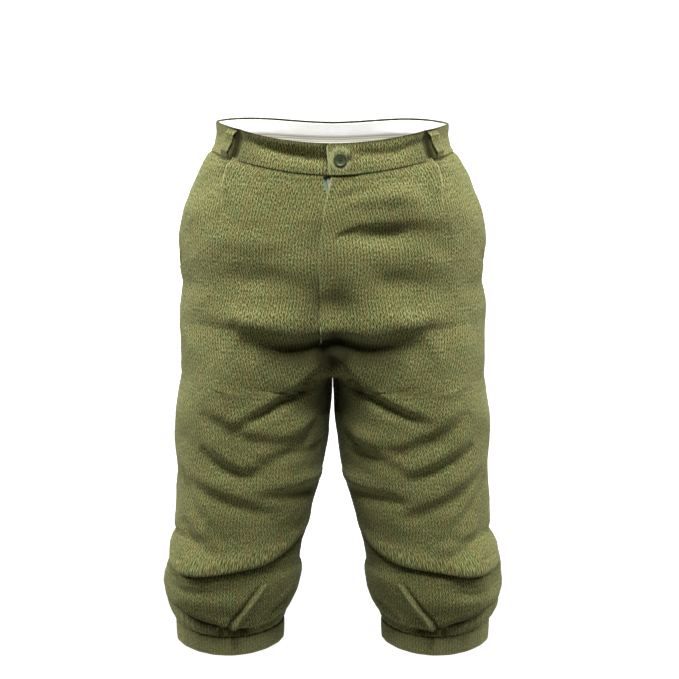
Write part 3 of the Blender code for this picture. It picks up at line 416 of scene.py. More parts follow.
def cloth_unevenness(side, around, drop):
    """The slow waves of worn wool cloth, and the small gathers along the cuff's seam."""
    across = around * FACE_WIDTH
    waves = np.random.default_rng(17 + side)
    height = np.zeros(len(around))
    for count, short, long, amount in ((10, 45, 110, 0.30), (14, 16, 34, 0.06)):
        for _ in range(count):
            wave = 2.0 * math.pi / (waves.uniform(short, long) * MM)
            way, phase = waves.uniform(0.0, math.pi), waves.uniform(0.0, 2.0 * math.pi)
            height += amount * MM * np.sin(
                wave * (across * math.cos(way) + drop * math.sin(way)) + phase)
    close = fade(drop, CUFF_TOP - 34 * MM, CUFF_TOP - 8 * MM)
    gathers = np.sin(2.0 * math.pi * (across / (15 * MM) + 0.7 * np.sin(across / (31 * MM))))
    height += 0.4 * MM * close * gathers
    quiet = fade(drop, BAND_HEIGHT, BAND_HEIGHT + 30 * MM)
    return height * quiet * (1.0 - fade(drop, CUFF_TOP - 6 * MM, CUFF_TOP))


BASE_ROUND_STEP = 0.012
BASE_DROP_STEP = 3 * MM
CROTCH_POINT = np.array((0.0, float(SECTION_AT["seam"](CROTCH_DROP)), -CROTCH_DROP))
CROTCH_SPREAD = 9 * MM


def turned_down(normals, places):
    """Unit normals, straight down at the crotch point, where four panels meet."""
    reach = np.linalg.norm(places - CROTCH_POINT, axis=-1)
    normals = normals / np.maximum(np.linalg.norm(normals, axis=-1), 1e-12)[..., None]
    normals = normals + np.exp(-(reach / CROTCH_SPREAD) ** 2)[..., None] * (0.0, 0.0, -3.0)
    return normals / np.linalg.norm(normals, axis=-1)[..., None]


def base_normal(around, drop):
    across = (base_point(around + BASE_ROUND_STEP, drop)
              - base_point(around - BASE_ROUND_STEP, drop))
    down = base_point(around, drop + BASE_DROP_STEP) - base_point(around, drop - BASE_DROP_STEP)
    return turned_down(np.cross(down, across), base_point(around, drop))


# Cloths that are sewn to each other lie level at their seam, on the middle line above the
# fork and along the inseam below it.
SEAM_DROPS = np.linspace(0.0, CUFF_BOTTOM, 240)
SEAM_EASE = 22 * MM
seam_level = {}
for side in (1, -1):
    for seam_round in (0.0, 2.0):
        spots = (side, np.full(len(SEAM_DROPS), seam_round), SEAM_DROPS)
        seam_level[side, seam_round] = fold_fields(*spots)[0] + cloth_unevenness(*spots)
SEAM_MEND = {}
for (side, seam_round), level in seam_level.items():
    on_middle = (seam_level[1, seam_round] + seam_level[-1, seam_round]) / 2.0
    on_inseam = (seam_level[side, 0.0] + seam_level[side, 2.0]) / 2.0
    below_fork = fade(SEAM_DROPS, CROTCH_DROP - 6 * MM, CROTCH_DROP + 6 * MM)
    SEAM_MEND[side, seam_round] = smooth_curve(
        SEAM_DROPS, on_middle + (on_inseam - on_middle) * below_fork - level)

SIDE_RISE = {1: 0.8 * MM, -1: 4.2 * MM}    # the band sits higher at its right side
CUFF_RISE = 5.0 * MM           # a cuff sits higher at its two sides than in front
CUFF_FRONT_DIP = 2.5 * MM


def cloth_point(side, around, drop):
    """The folded tube of one side, as if it were the left one."""
    height, shift_across, shift_down = fold_fields(side, around, drop)
    height = height + cloth_unevenness(side, around, drop)
    for seam_round in (0.0, 2.0):
        near = np.exp(-((around - seam_round) * FACE_WIDTH / SEAM_EASE) ** 2)
        height = height + near * SEAM_MEND[side, seam_round](drop)
    to_side = np.cos(around * math.pi) ** 2
    foot_rise = CUFF_RISE * to_side - CUFF_FRONT_DIP * (1.0 - to_side) * (around < 1.0)
    foot_rise = foot_rise * fade(drop, CUFF_TOP - 60 * MM, CUFF_TOP)
    around, drop = around + shift_across, drop + shift_down
    places = base_point(around, drop) + height[:, None] * base_normal(around, drop)
    places[:, 2] += (SIDE_RISE[side] * np.sin(around * math.pi / 2.0) ** 4
                     * (1.0 - fade(drop, 0.0, 2.0 * BAND_HEIGHT)))
    places[:, 2] += foot_rise
    return places


# A cloth edge is a folded or pressed one, so it is round: its rows close up towards it
# and the wall gets thinner, over half the cloth's thickness.
EDGE_TURNS = np.radians((0.0, 25.0, 55.0, 90.0))
EDGE_ROWS = len(EDGE_TURNS) - 1


def edged_places(first, last, edge, count):
    """Places from first to last with a round edge's close steps at both ends."""
    first, last = np.broadcast_arrays(np.atleast_1d(first), np.atleast_1d(last))
    steps = edge * (1.0 - np.cos(EDGE_TURNS))[None, :]
    first, last = first[:, None].astype(float), last[:, None].astype(float)
    inner_first, inner_last = first + edge, last - edge
    middle = np.linspace(0.0, 1.0, count)[None, 1:-1]
    return np.concatenate((first + steps, inner_first + (inner_last - inner_first) * middle,
                           last - steps[:, ::-1]), axis=1)


def edged_fullness(count):
    """The share of the cloth's thickness at each of all those places."""
    turn = np.sin(EDGE_TURNS)
    return np.concatenate((turn, np.ones(count - 2 * len(turn)), turn[::-1]))


SEAM_LAP = 0.4 * MM            # how far each side reaches past the middle seams
SEAM_LAP_WIDTH = 3 * MM
FLY_SEWN = (250 * MM, 260 * MM)


def seam_lap(around, drop):
    """How far a place is moved over the middle, so that no light shows in the seams."""
    in_front = np.exp(-(around * FACE_WIDTH / SEAM_LAP_WIDTH) ** 2) * fade(drop, *FLY_SEWN)
    behind = np.exp(-((2.0 - around) * FACE_WIDTH / SEAM_LAP_WIDTH) ** 2)
    return SEAM_LAP * (in_front + behind) * (1.0 - fade(drop, CROTCH_DROP, CROTCH_DROP + 4 * MM))


def add_mesh(name, points, faces, edges=()):
    """Puts a new mesh object into the scene."""
    mesh = bpy.data.meshes.new(name)
    mesh.from_pydata(points, edges, faces)
    return add_object(name, mesh)


def cloth_wall(name, side, around, drop, middle, thickness, grain, ring=False, wear_and_painted_light=0.0):
    """A closed wall of cloth over a grid made by edged_places, with round edges.

    middle is the height of the wall's middle plane off the cloth surface, and grain is
    the weave's own across and down places, in metres. A ring closes on itself. wear is
    1 where an edge is rubbed pale and painted paler as a highlight, and -1 where shade is
    painted dark; the creases' painted shade and highlights are added to it.
    """
    rows, columns = around.shape
    places = cloth_point(side, around.ravel(), drop.ravel()).reshape(rows, columns, 3)
    across, down = np.gradient(places, axis=1), np.gradient(places, axis=0)
    if ring:
        across[:, 0] = across[:, -1] = places[:, 1] - places[:, -2]
    normals = turned_down(np.cross(down, across), places)
    full = edged_fullness(rows)[:, None] * np.ones((1, columns))
    if not ring:
        full = full * edged_fullness(columns)[None, :]
    lapped = seam_lap(around, drop)
    skins = []
    for way in (0.5, -0.5):
        skin = places + normals * (middle + way * thickness * full)[..., None]
        skin[..., 0] -= 2.0 * lapped       # no place reaches further over than the lap
        if around.min() >= 0.0 and around.max() <= 2.0:
            skin[..., 0] = np.maximum(skin[..., 0], -lapped)
        skins.append(skin.reshape(-1, 3) * (side, 1.0, 1.0))
    count = rows * columns
    grid = np.arange(count).reshape(rows, columns)
    here, below, beyond, beside = grid[:-1, :-1], grid[1:, :-1], grid[1:, 1:], grid[:-1, 1:]
    outer_faces = np.stack((here, below, beyond, beside), axis=-1).reshape(-1, 4)
    inner_faces = np.stack((here, beside, beyond, below), axis=-1).reshape(-1, 4) + count
    corners = np.concatenate((outer_faces, inner_faces))
    if side < 0:
        corners = corners[:, ::-1]
    welded = np.arange(2 * count)
    rim = np.flatnonzero(full.ravel() < 1e-9)
    welded[rim + count] = rim
    if ring:
        closing = welded.reshape(2 * rows, columns)
        closing[:, -1] = closing[:, 0]
        welded = closing.ravel()
    used, faces = np.unique(welded[corners], return_inverse=True)
    wall = add_mesh(name, np.concatenate(skins)[used].tolist(), faces.reshape(-1, 4).tolist())
    chart = wall.data.uv_layers.new(name="weave")
    chart_places = np.stack([np.tile(part.ravel(), 2)[corners.ravel()] for part in grain], axis=1)
    chart.data.foreach_set("uv", chart_places.ravel())
    painted_light_and_wear = wall.data.attributes.new("wear_and_painted_light", "FLOAT", "CORNER")
    wear_and_painted_light = wear_and_painted_light + painted_crease_shading(side, around.ravel(), drop.ravel()).reshape(rows, columns)
    painted_light_and_wear.data.foreach_set("value", np.tile(wear_and_painted_light.ravel(), 2)[corners.ravel()])
    wall.data.shade_smooth()
    return wall


# How long a face is round, in front (False) and behind (True), at each drop. The grain
# follows a plainer curve of it, which leaves out the jog at the fork.
FACE_STEPS = 60
GRAIN_DROPS = np.array((0, 60, 120, 180, 240, 420, 480, 540, 600, 660, 727)) * MM
FACE_LENGTH, GRAIN_LENGTH = {}, {}
for back in (False, True):
    face_drops = np.linspace(0.0, CUFF_BOTTOM, FACE_STEPS)
    lengths = []
    for face_drop in face_drops:
        share = np.linspace(0.0, 1.0, FACE_STEPS)
        x, y = section_point(share, np.full(FACE_STEPS, face_drop), np.full(FACE_STEPS, back))
        lengths.append(np.hypot(np.diff(x), np.diff(y)).sum())
    FACE_LENGTH[back] = smooth_curve(face_drops, np.array(lengths))
    GRAIN_LENGTH[back] = smooth_curve(GRAIN_DROPS, FACE_LENGTH[back](GRAIN_DROPS))


GRAIN_CENTRE = 0.45            # the straight grain runs down here, halfway over the thigh


def panel_grain(around, drop):
    """The weave's across and down places on a panel that is cut on the straight grain."""
    back = around > 1.0
    share = np.where(back, 2.0 - around, around)
    length = np.where(back, FACE_LENGTH[True](drop), FACE_LENGTH[False](drop))
    straight = np.where(back, GRAIN_LENGTH[True](drop), GRAIN_LENGTH[False](drop))
    dip = np.where(back, BACK_DIP, FRONT_SEAM_DIP) * (1.0 - fade(drop, BAND_HEIGHT, DIP_END))
    down = drop + 0.6 * dip * np.cos(share * math.pi / 2.0) ** 2
    return (share - 1.0) * length + (1.0 - GRAIN_CENTRE) * straight, down


def line_beside(distance, width):
    """1 along an edge, falling away over the width in millimetres."""
    return np.exp(-(distance / (width * MM)) ** 2)


def seam_roll(distance, along):
    """A sewn edge is drawn in, with a soft roll beside it, and puckers a little."""
    drawn_in, roll = line_beside(distance, 2.5), line_beside(distance - 5.0 * MM, 3.0)
    puckers = 1.0 + 0.35 * np.sin(along * 2.0 * math.pi / (11 * MM) + 3.0 * np.sin(along * 70.0))
    return (-0.8 * drawn_in + 0.3 * roll) * MM * puckers


def declare_cloth(wall, finish, node):
    """Gives a sheet of cloth its finish, hides the part that it stands for, and hangs it on the
    garment.
    """
    wall.data.materials.append(finish)
    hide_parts(node)
    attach(wall, "garment")


# Rows of the panels, closer near the fork, where they follow the crotch curve. Top and
# foot run on into the band and the cuff that they are sewn into.
SEAM_TURN = 2.5 * MM
ROW_COUNT = 310
body_rows = edged_places(BAND_HEIGHT - SEAM_TURN, CUFF_TOP + SEAM_TURN, CLOTH / 2,
                         ROW_COUNT)[0]
even_rows = body_rows[EDGE_ROWS:-EDGE_ROWS].copy()
row_share = (even_rows - even_rows[0]) / (even_rows[-1] - even_rows[0])
body_rows[EDGE_ROWS:-EDGE_ROWS] = even_rows[0] + (even_rows[-1] - even_rows[0]) * np.interp(
    row_share, (0.0, 0.67, 1.0), (0.0, 0.79, 1.0))     # closer over the knee and below it


def crowded(drop, share, rise):
    """Drops of a panel row, lowered near the centre so that rows follow the fork."""
    left = np.clip((CROTCH_DROP - drop) / rise, 0.0, 1.0)
    lowered = rise * (left - 1.0 + np.cos(left * math.pi / 2.0))
    near = np.clip(1.0 - share / 0.5, 0.0, 1.0) ** 2
    return drop + np.where(left > 0.0, near * lowered, 0.0)


# The fly's flap: the left front laps over the zip, and the right front's edge lies under
# it. Below the fly's end the two fronts are sewn edge to edge.
FLAP_LIFT = 2.2 * MM
FLAP_EDGE = smooth_curve(
    np.array((38, 50, 66, 86, 132, 186, 218, 254, 292, 318, 340, 352, 353)) * MM,
    np.array((0.8, 3.2, 7.2, 10.0, 15.0, 17.0, 17.5, 16.5, 14.0, 8.0, 1.5, 0.0, 0.0)) * MM)
UNDER_EDGE = smooth_curve(np.array((38, 50, 66, 86, 132, 186, 272)) * MM,
                          np.array((12.8, 11.2, 6.8, 7.5, 12.3, 13.5, 14.0)) * MM)
UNDER_END = 272 * MM
FLAP_SEWN = 300 * MM
SIDES = (("left", 1), ("right", -1))


def flap_lift(around, drop):
    """How far the left front stands off over the zip and the right front's edge."""
    x = around * FACE_LENGTH[False](drop)
    near = 1.0 - fade(x, -8 * MM, 12 * MM)
    return FLAP_LIFT * near * (1.0 - fade(drop, FLAP_SEWN - 15 * MM, FLAP_SEWN))


# The slanted pocket's mouth is the front panel's outer edge, as round against drop. It
# turns out to the side seam at its lower end, and gapes a little under the belt loop.
POCKET_MOUTH = smooth_curve(
    np.array((38, 60, 90, 130, 150, 172, 188, 200, 201)) * MM,
    np.array((0.650, 0.625, 0.590, 0.575, 0.600, 0.720, 0.880, 1.0, 1.0)))
POCKET_GAPE = 4.6 * MM


def pocket_lift(around, drop):
    """How far the pocket's mouth gapes at its upper end."""
    near = fade(around, POCKET_MOUTH(drop) - 0.10, POCKET_MOUTH(drop))
    deep = fade(drop, 40 * MM, 48 * MM) * (1.0 - fade(drop, 66 * MM, 92 * MM))
    return POCKET_GAPE * near * deep


FRONT_COUNT = 110


def front_edges(side, rows):
    """Round at the fly's edge and at the pocket's mouth or the side seam."""
    flap, length = FLAP_EDGE(rows), FACE_LENGTH[False](rows)
    if side > 0:
        first = -flap / length
    else:
        lapped = np.where(rows < UNDER_END, UNDER_EDGE(rows), flap)
        first = np.where(rows >= CROTCH_DROP, 0.0, lapped / length)
    return first, np.minimum(POCKET_MOUTH(rows), 1.0)


def linear(code):
    """sRGB hex to linear red, green, blue and alpha."""
    parts = [int(code[i:i + 2], 16) / 255.0 for i in (1, 3, 5)]
    return (*(c / 12.92 if c <= 0.04045 else ((c + 0.055) / 1.055) ** 2.4 for c in parts), 1.0)


def set_inputs(node, inputs):
    """Inputs by name or number: a value, a socket, or a node for its first output."""
    for key, given in inputs.items():
        if isinstance(given, bpy.types.Node):
            given = given.outputs[0]
        if isinstance(given, bpy.types.NodeSocket):
            node.id_data.links.new(given, node.inputs[key])
        else:
            node.inputs[key].default_value = given


def add_node(tree, kind, inputs=(), ramp=(), **settings):
    """Adds a node. A colour ramp's stops are (place, colour), its own two ends first."""
    made = tree.nodes.new(kind)
    for key, value in settings.items():
        setattr(made, key, value)
    set_inputs(made, dict(inputs))
    for number, (place, code) in enumerate(ramp):
        stops = made.color_ramp.elements
        stop = stops[number] if number < 2 else stops.new(place)
        stop.position, stop.color = place, linear(code)
    return made


def new_finish(name, inputs, woven=False, scale=(1000.0, 1000.0, 1000.0)):
    """A material with constant values on its shader's own sockets, and its places in
    millimetres: on the weave where it is woven, and otherwise on the piece."""
    finish = bpy.data.materials.new(name)
    finish.use_nodes = True
    tree = finish.node_tree
    if woven:
        places = add_node(tree, "ShaderNodeUVMap", uv_map="weave").outputs["UV"]
    else:
        places = add_node(tree, "ShaderNodeTexCoord").outputs["Object"]
    mm = add_node(tree, "ShaderNodeMapping", {"Vector": places, "Scale": scale})
    shader = tree.nodes["Principled BSDF"]
    set_inputs(shader, inputs)
    return finish, tree, shader, mm


# Woollen herringbone tweed: olive and pale moss yarns whose floats lean left and right in
# turns, with a rust line about every 40 mm along the cloth and a dark one every 60 mm
# across it. It is matt and softly hairy, and mottled where the yarn's dye varies. Its
# folded edges are rubbed pale and painted paler still as highlights, and shade is painted
# dark into its creases, hollows and the corners beside its seams, with painted highlights
# on some ridges. The floats are drawn a little coarser than the real ones, so that they still
# show.
RIB = 4.3                      # mm across one leaning rib
RIB_SLOPE = 2.2                # a float's rise for each mm across
FLOAT_PITCH = 5.2              # mm down from float to float
RUST_PITCH = 41.0
DARK_PITCH = 60.0
NAP_LEVEL = 0.3                # how far the nap hides the yarns where the legs rub
NAP_DROPS = (240.0, 430.0)     # mm down the cloth from where to where it grows

tweed, tree, shader, mm = new_finish("herringbone_tweed", {
    "Roughness": 0.95, "Specular IOR Level": 0.15, "Sheen Weight": 0.12,
    "Sheen Roughness": 0.45, "Sheen Tint": linear("#d8dab0")}, woven=True)
places = add_node(tree, "ShaderNodeSeparateXYZ", {"Vector": mm})
across, down = places.outputs["X"], places.outputs["Y"]
slub = add_node(tree, "ShaderNodeTexNoise",
                {"Vector": mm, "Scale": 0.16, "Detail": 2.0, "Roughness": 0.5},
                noise_dimensions="2D")
wander = add_node(tree, "ShaderNodeMath", {0: slub, 1: 2.2, 2: across},
                  operation="MULTIPLY_ADD")
rib = add_node(tree, "ShaderNodeMath", {0: wander, 1: RIB}, operation="PINGPONG")
lean = add_node(tree, "ShaderNodeMath", {0: rib, 1: RIB_SLOPE, 2: down},
                operation="MULTIPLY_ADD")
drawn_out = add_node(tree, "ShaderNodeMapping", {"Vector": mm, "Scale": (0.80, 0.29, 1.0)})
fibres = add_node(tree, "ShaderNodeTexNoise",
                  {"Vector": drawn_out, "Scale": 1.0, "Detail": 2.0, "Roughness": 0.6},
                  noise_dimensions="2D")
ragged = add_node(tree, "ShaderNodeMath", {0: fibres, 1: 2.0, 2: lean},
                  operation="MULTIPLY_ADD")
turn = add_node(tree, "ShaderNodeMath", {0: ragged, 1: 2.0 * math.pi / FLOAT_PITCH},
                operation="MULTIPLY")
wave = add_node(tree, "ShaderNodeMath", {0: turn}, operation="SINE")
floats = add_node(tree, "ShaderNodeMath", {0: wave, 1: 0.28, 2: -0.5},
                  operation="MULTIPLY_ADD")
rib_turn = add_node(tree, "ShaderNodeMath", {0: rib, 1: 2.0 * math.pi / RIB},
                    operation="MULTIPLY")
rib_crown = add_node(tree, "ShaderNodeMath", {0: rib_turn}, operation="COSINE")
ribbed = add_node(tree, "ShaderNodeMath", {0: rib_crown, 1: -0.15, 2: floats},
                  operation="MULTIPLY_ADD")
crisp = add_node(tree, "ShaderNodeMath", {0: fibres, 1: 2.0, 2: ribbed},
                 operation="MULTIPLY_ADD", use_clamp=True)
napped = add_node(tree, "ShaderNodeMapRange",
                  {"Value": down, "From Min": NAP_DROPS[0], "From Max": NAP_DROPS[1],
                   "To Min": 0.0, "To Max": NAP_LEVEL})
yarn = add_node(tree, "ShaderNodeMix", {0: napped, 2: crisp, 3: 0.5})
yarn_colours = add_node(tree, "ShaderNodeValToRGB", {"Fac": yarn},
                        ramp=((0.08, "#373922"), (0.92, "#a5a477"), (0.5, "#646643")))
clouds = add_node(tree, "ShaderNodeTexNoise",
                  {"Vector": mm, "Scale": 0.045, "Detail": 3.0, "Roughness": 0.6},
                  noise_dimensions="2D")
tints = add_node(tree, "ShaderNodeValToRGB", {"Fac": clouds},
                 ramp=((0.36, "#77875a"), (0.66, "#8f845a"), (0.5, "#848659")))
mottled = add_node(tree, "ShaderNodeMix", {0: 0.55, 6: yarn_colours, 7: tints},
                   data_type="RGBA", blend_type="SOFT_LIGHT")

# Over the yarns' own colour lie the rust and the dark lines, the pale wear with painted
# highlights, and painted shade.
weft = add_node(tree, "ShaderNodeMath", {0: slub, 1: 3.0, 2: down}, operation="MULTIPLY_ADD")
layers = []
for place, pitch, core, edge, strength, code in (
        (wander, RUST_PITCH, 0.4, 1.3, 0.32, "#7a4e2c"),
        (weft, DARK_PITCH, 0.3, 1.2, 0.30, "#3a3b22")):
    gap = add_node(tree, "ShaderNodeMath", {0: place, 1: pitch / 2}, operation="PINGPONG")
    layers.append((code, add_node(tree, "ShaderNodeMapRange", {
        "Value": gap, "From Min": core, "From Max": edge, "To Min": strength, "To Max": 0.0})))
painted_light_and_wear = add_node(tree, "ShaderNodeAttribute", attribute_name="wear_and_painted_light").outputs["Fac"]
# The pale colour is rubbed wear and a painted highlight; the dark one is painted shade.
for strength, code in ((0.6, "#b9b787"), (-0.85, "#24230f")):
    layers.append((code, add_node(tree, "ShaderNodeMath", {0: painted_light_and_wear, 1: strength},
                                  operation="MULTIPLY", use_clamp=True)))
colour = mottled.outputs[2]
for code, amount in layers:
    colour = add_node(tree, "ShaderNodeMix", {0: amount, 6: colour, 7: linear(code)},
                      data_type="RGBA").outputs[2]
relief = add_node(tree, "ShaderNodeBump", {"Height": yarn, "Strength": 0.35, "Distance": 0.0006})
set_inputs(shader, {"Base Color": colour, "Normal": relief})

for word, side in SIDES:
    first, last = front_edges(side, body_rows)
    around = edged_places(first, last, CLOTH / 2 / FACE_WIDTH, FRONT_COUNT)
    drop = crowded(body_rows[:, None], np.abs(around), FRONT_FORK_RISE)
    length = FACE_LENGTH[False](drop)
    from_fly, from_mouth = (around - first[:, None]) * length, (last[:, None] - around) * length
    height = pocket_lift(around, drop) - CLOTH / 2
    if side > 0:
        height = height + flap_lift(around, drop)
    sewn_side = fade(last, 0.90, 0.99)[:, None]
    sewn_centre = fade(body_rows, FLAP_SEWN, FLAP_SEWN + 20 * MM)[:, None]
    height = height + sewn_side * seam_roll(from_mouth, drop)
    height = height + sewn_centre * seam_roll(from_fly, drop)
    height = height + seam_roll(drop - BAND_HEIGHT, around * length)
    height = height + seam_roll(CUFF_TOP - drop, around * length)
    # Painted light: the pocket's mouth and the fly's edge are rubbed pale and painted paler as
    # highlights, most near the top, and shade is painted dark along the band's seam.
    edge_paling = 0.25 + 0.6 * (1.0 - fade(drop, 45 * MM, 120 * MM))
    wear_and_painted_light = line_beside(from_mouth, 1.5) * (1.0 - sewn_side) * edge_paling
    if side > 0:
        lower = 1.0 - fade(drop, 200 * MM, 260 * MM)
        wear_and_painted_light = wear_and_painted_light + line_beside(from_fly, 1.2) * edge_paling * lower
    wear_and_painted_light = wear_and_painted_light - 0.7 * line_beside(drop - BAND_HEIGHT, 1.2)
    grain = panel_grain(around, drop)
    front = cloth_wall("tweed_front_" + word, side, around, drop, height, CLOTH, grain, wear_and_painted_light=wear_and_painted_light)
    declare_cloth(front, tweed, "front_" + word)

# ---------------------------------------------------------------------------- hip pieces
# The tweed that shows in each slanted pocket's mouth, sewn into the side seam and the
# band. It lies under the front panel's edge and comes out flush at the side seam.
YOKE_FOOT = 204 * MM
YOKE_UNDERLAP = 16 * MM
YOKE_PAST_SEAM = 0.010
YOKE_SINK = CLOTH + SEAM_GAP + 0.9 * MM
MOUTH_DENT = 6.5 * MM          # the mouth's upper end gapes over a hollow
YOKE_ROWS = 84
YOKE_COLUMNS = 50


def level_drops(rows, around):
    """The drop of each place in a grid whose rows are level."""
    return np.repeat(rows[:, None], around.shape[1], axis=1)


for word, side in SIDES:
    rows = edged_places(BAND_HEIGHT - SEAM_TURN, YOKE_FOOT, CLOTH / 2, YOKE_ROWS)[0]
    mouth = np.minimum(POCKET_MOUTH(rows), 1.0)
    closed = fade(mouth, 0.93, 0.98)
    first = mouth - YOKE_UNDERLAP / FACE_LENGTH[False](rows)
    last = 1.0 + YOKE_PAST_SEAM * closed
    around = edged_places(first, last, CLOTH / 2 / FACE_WIDTH, YOKE_COLUMNS)
    drop = level_drops(rows, around)
    length = FACE_LENGTH[False](drop)
    flush = (1.0 - fade(mouth, 0.66, 0.80))[:, None] * fade(around, mouth[:, None] + 0.02, 1.0)
    height = -YOKE_SINK * (1.0 - flush) - 0.6 * MM * closed[:, None] - CLOTH / 2
    from_mouth = (around - mouth[:, None] - 0.01) * length
    height = height - MOUTH_DENT * np.exp(-(from_mouth / (7 * MM)) ** 2
                                          - ((drop - 58 * MM) / (8 * MM)) ** 2)
    height = height + seam_roll((last[:, None] - around) * length, drop) * flush
    height = height + seam_roll(drop - BAND_HEIGHT, around * FACE_WIDTH)
    # Shade is painted dark along the cloth just inside the front's edge, and darkest in the
    # mouth's upper corner.
    top_corner = np.exp(-(from_mouth / (6 * MM)) ** 2 - ((drop - 44 * MM) / (10 * MM)) ** 2)
    wear_and_painted_light = -0.6 * line_beside(from_mouth + 3.6 * MM, 3.5) - top_corner
    grain = panel_grain(around, drop)
    yoke = cloth_wall("tweed_hip_piece_" + word, side, around, drop, height, CLOTH, grain,
                      wear_and_painted_light=wear_and_painted_light)
    declare_cloth(yoke, tweed, "pocket_yoke_" + word)

# ---------------------------------------------------------------------------- back panels
# Two tweed panels, joined down the centre back, along the inseams and at the side seams.
# They hang in the same blouse over the cuffs as the fronts.
BACK_COUNT = 112

for word, side in SIDES:
    around = np.repeat(edged_places(1.0, 2.0, CLOTH / 2 / FACE_WIDTH, BACK_COUNT),
                       len(body_rows), axis=0)
    drop = crowded(body_rows[:, None], 2.0 - around, BACK_FORK_RISE)
    length = FACE_LENGTH[True](drop)
    height = -CLOTH / 2 + seam_roll((around - around[:, :1]) * length, drop)
    height = height + seam_roll((around[:, -1:] - around) * length, drop)
    height = height + seam_roll(drop - BAND_HEIGHT, around * length)
    height = height + seam_roll(CUFF_TOP - drop, around * length)
    grain = panel_grain(around, drop)
    back_panel = cloth_wall("tweed_back_" + word, side, around, drop, height, CLOTH, grain)
    declare_cloth(back_panel, tweed, "back_" + word)

# ---------------------------------------------------------------------------- waistband
# A folded band of tweed with a firm canvas inside, sewn on along the panels' top edge.
# Its left end is a tab with a rounded corner that buttons over the right end.
BAND_OUT = 0.8 * MM
BAND_IN = -1.6 * MM
TAB_LIFT = 2.8 * MM
TAB_END = 8.5 * MM
TAB_SLANT = 4.6 * MM
TAB_CORNER = 7 * MM
UNDERLAP_END = 18 * MM
BAND_FOOT = 37.85 * MM
BAND_CURL = 1.1 * MM           # the band bellies out above its seam and rolls in at the top
BAND_ROW_COUNT = 20
BAND_COUNT = 250
BAND_MIDDLE_LENGTH = float(FACE_LENGTH[False](BAND_HEIGHT / 2))


def tab_lift(around):
    """How far the tab stands off over the band's right end."""
    x = around * FACE_LENGTH[False](BAND_HEIGHT)
    return TAB_LIFT * (1.0 - fade(x, 20 * MM, 46 * MM))


def band_end(side, rows):
    """Round at the band's end in front, with the tab's slant and its rounded corner."""
    if side < 0:
        return np.full(len(rows), -UNDERLAP_END / BAND_MIDDLE_LENGTH)
    left_over = np.maximum(TAB_CORNER - rows, 0.0)
    corner = TAB_CORNER - np.sqrt(TAB_CORNER ** 2 - left_over ** 2)
    return -(TAB_END - TAB_SLANT * rows / BAND_HEIGHT - corner) / BAND_MIDDLE_LENGTH


# Shallow creases of the band, made as the panels' folds are: side, route, depth, width.
BAND_HOLLOW = 3.0 * MM         # in front it is drawn in along its middle
LOOP_DIP = 4.5 * MM            # and beside the front loops
BAND_CREASES = (
    (-1, -0.20, 0.66, 26, 9, 6.5, 6.5), (-1, -0.16, 0.50, 2, 2, -3.4, 6.0),
    (1, 0.10, 0.46, 13, 21, 2.6, 5.0), (1, 0.34, 0.68, 22, 9, 2.8, 5.5),
    (-1, 1.10, 1.60, 18, 16, 0.9, 5.0), (1, 1.15, 1.70, 20, 17, 0.9, 5.0),
)


def band_relief(side, around, drop):
    """The worn band's height off the smooth tube: its belly, its hollows and creases."""
    height = BAND_CURL * np.sin(np.pi * np.clip(drop / BAND_HEIGHT, 0.0, 1.0) ** 1.6)
    x = around * BAND_MIDDLE_LENGTH
    clear_of_button = fade(x, 20 * MM, 42 * MM) if side > 0 else 1.0
    pinched = clear_of_button * (1.0 - 0.7 * fade(around, 0.72, 1.2))
    height = height - BAND_HOLLOW * pinched * np.exp(-((drop - 17 * MM) / (9 * MM)) ** 2)
    height = height - LOOP_DIP * np.exp(-((x - 0.635 * BAND_MIDDLE_LENGTH) / (7 * MM)) ** 2)
    for on_side, start, end, start_drop, end_drop, depth, width in BAND_CREASES:
        if on_side != side:
            continue
        travelled = np.clip((around - start) / (end - start), 0.0, 1.0)
        line = (start_drop + (end_drop - start_drop) * travelled) * MM
        strength = (4.0 * travelled * (1.0 - travelled)) ** 0.7
        height = height - depth * MM * strength * np.exp(-((drop - line) / (width * MM)) ** 2)
    return height


def x_beside_loop(around):
    """Distance from the place beside a front loop, on its inner side, where shade is painted dark.
    """
    return (around - 0.657) * BAND_MIDDLE_LENGTH


def band_length(around):
    """How long the band's face is round, in front and behind."""
    return np.where(around > 1.0, FACE_LENGTH[True](BAND_HEIGHT), FACE_LENGTH[False](BAND_HEIGHT))


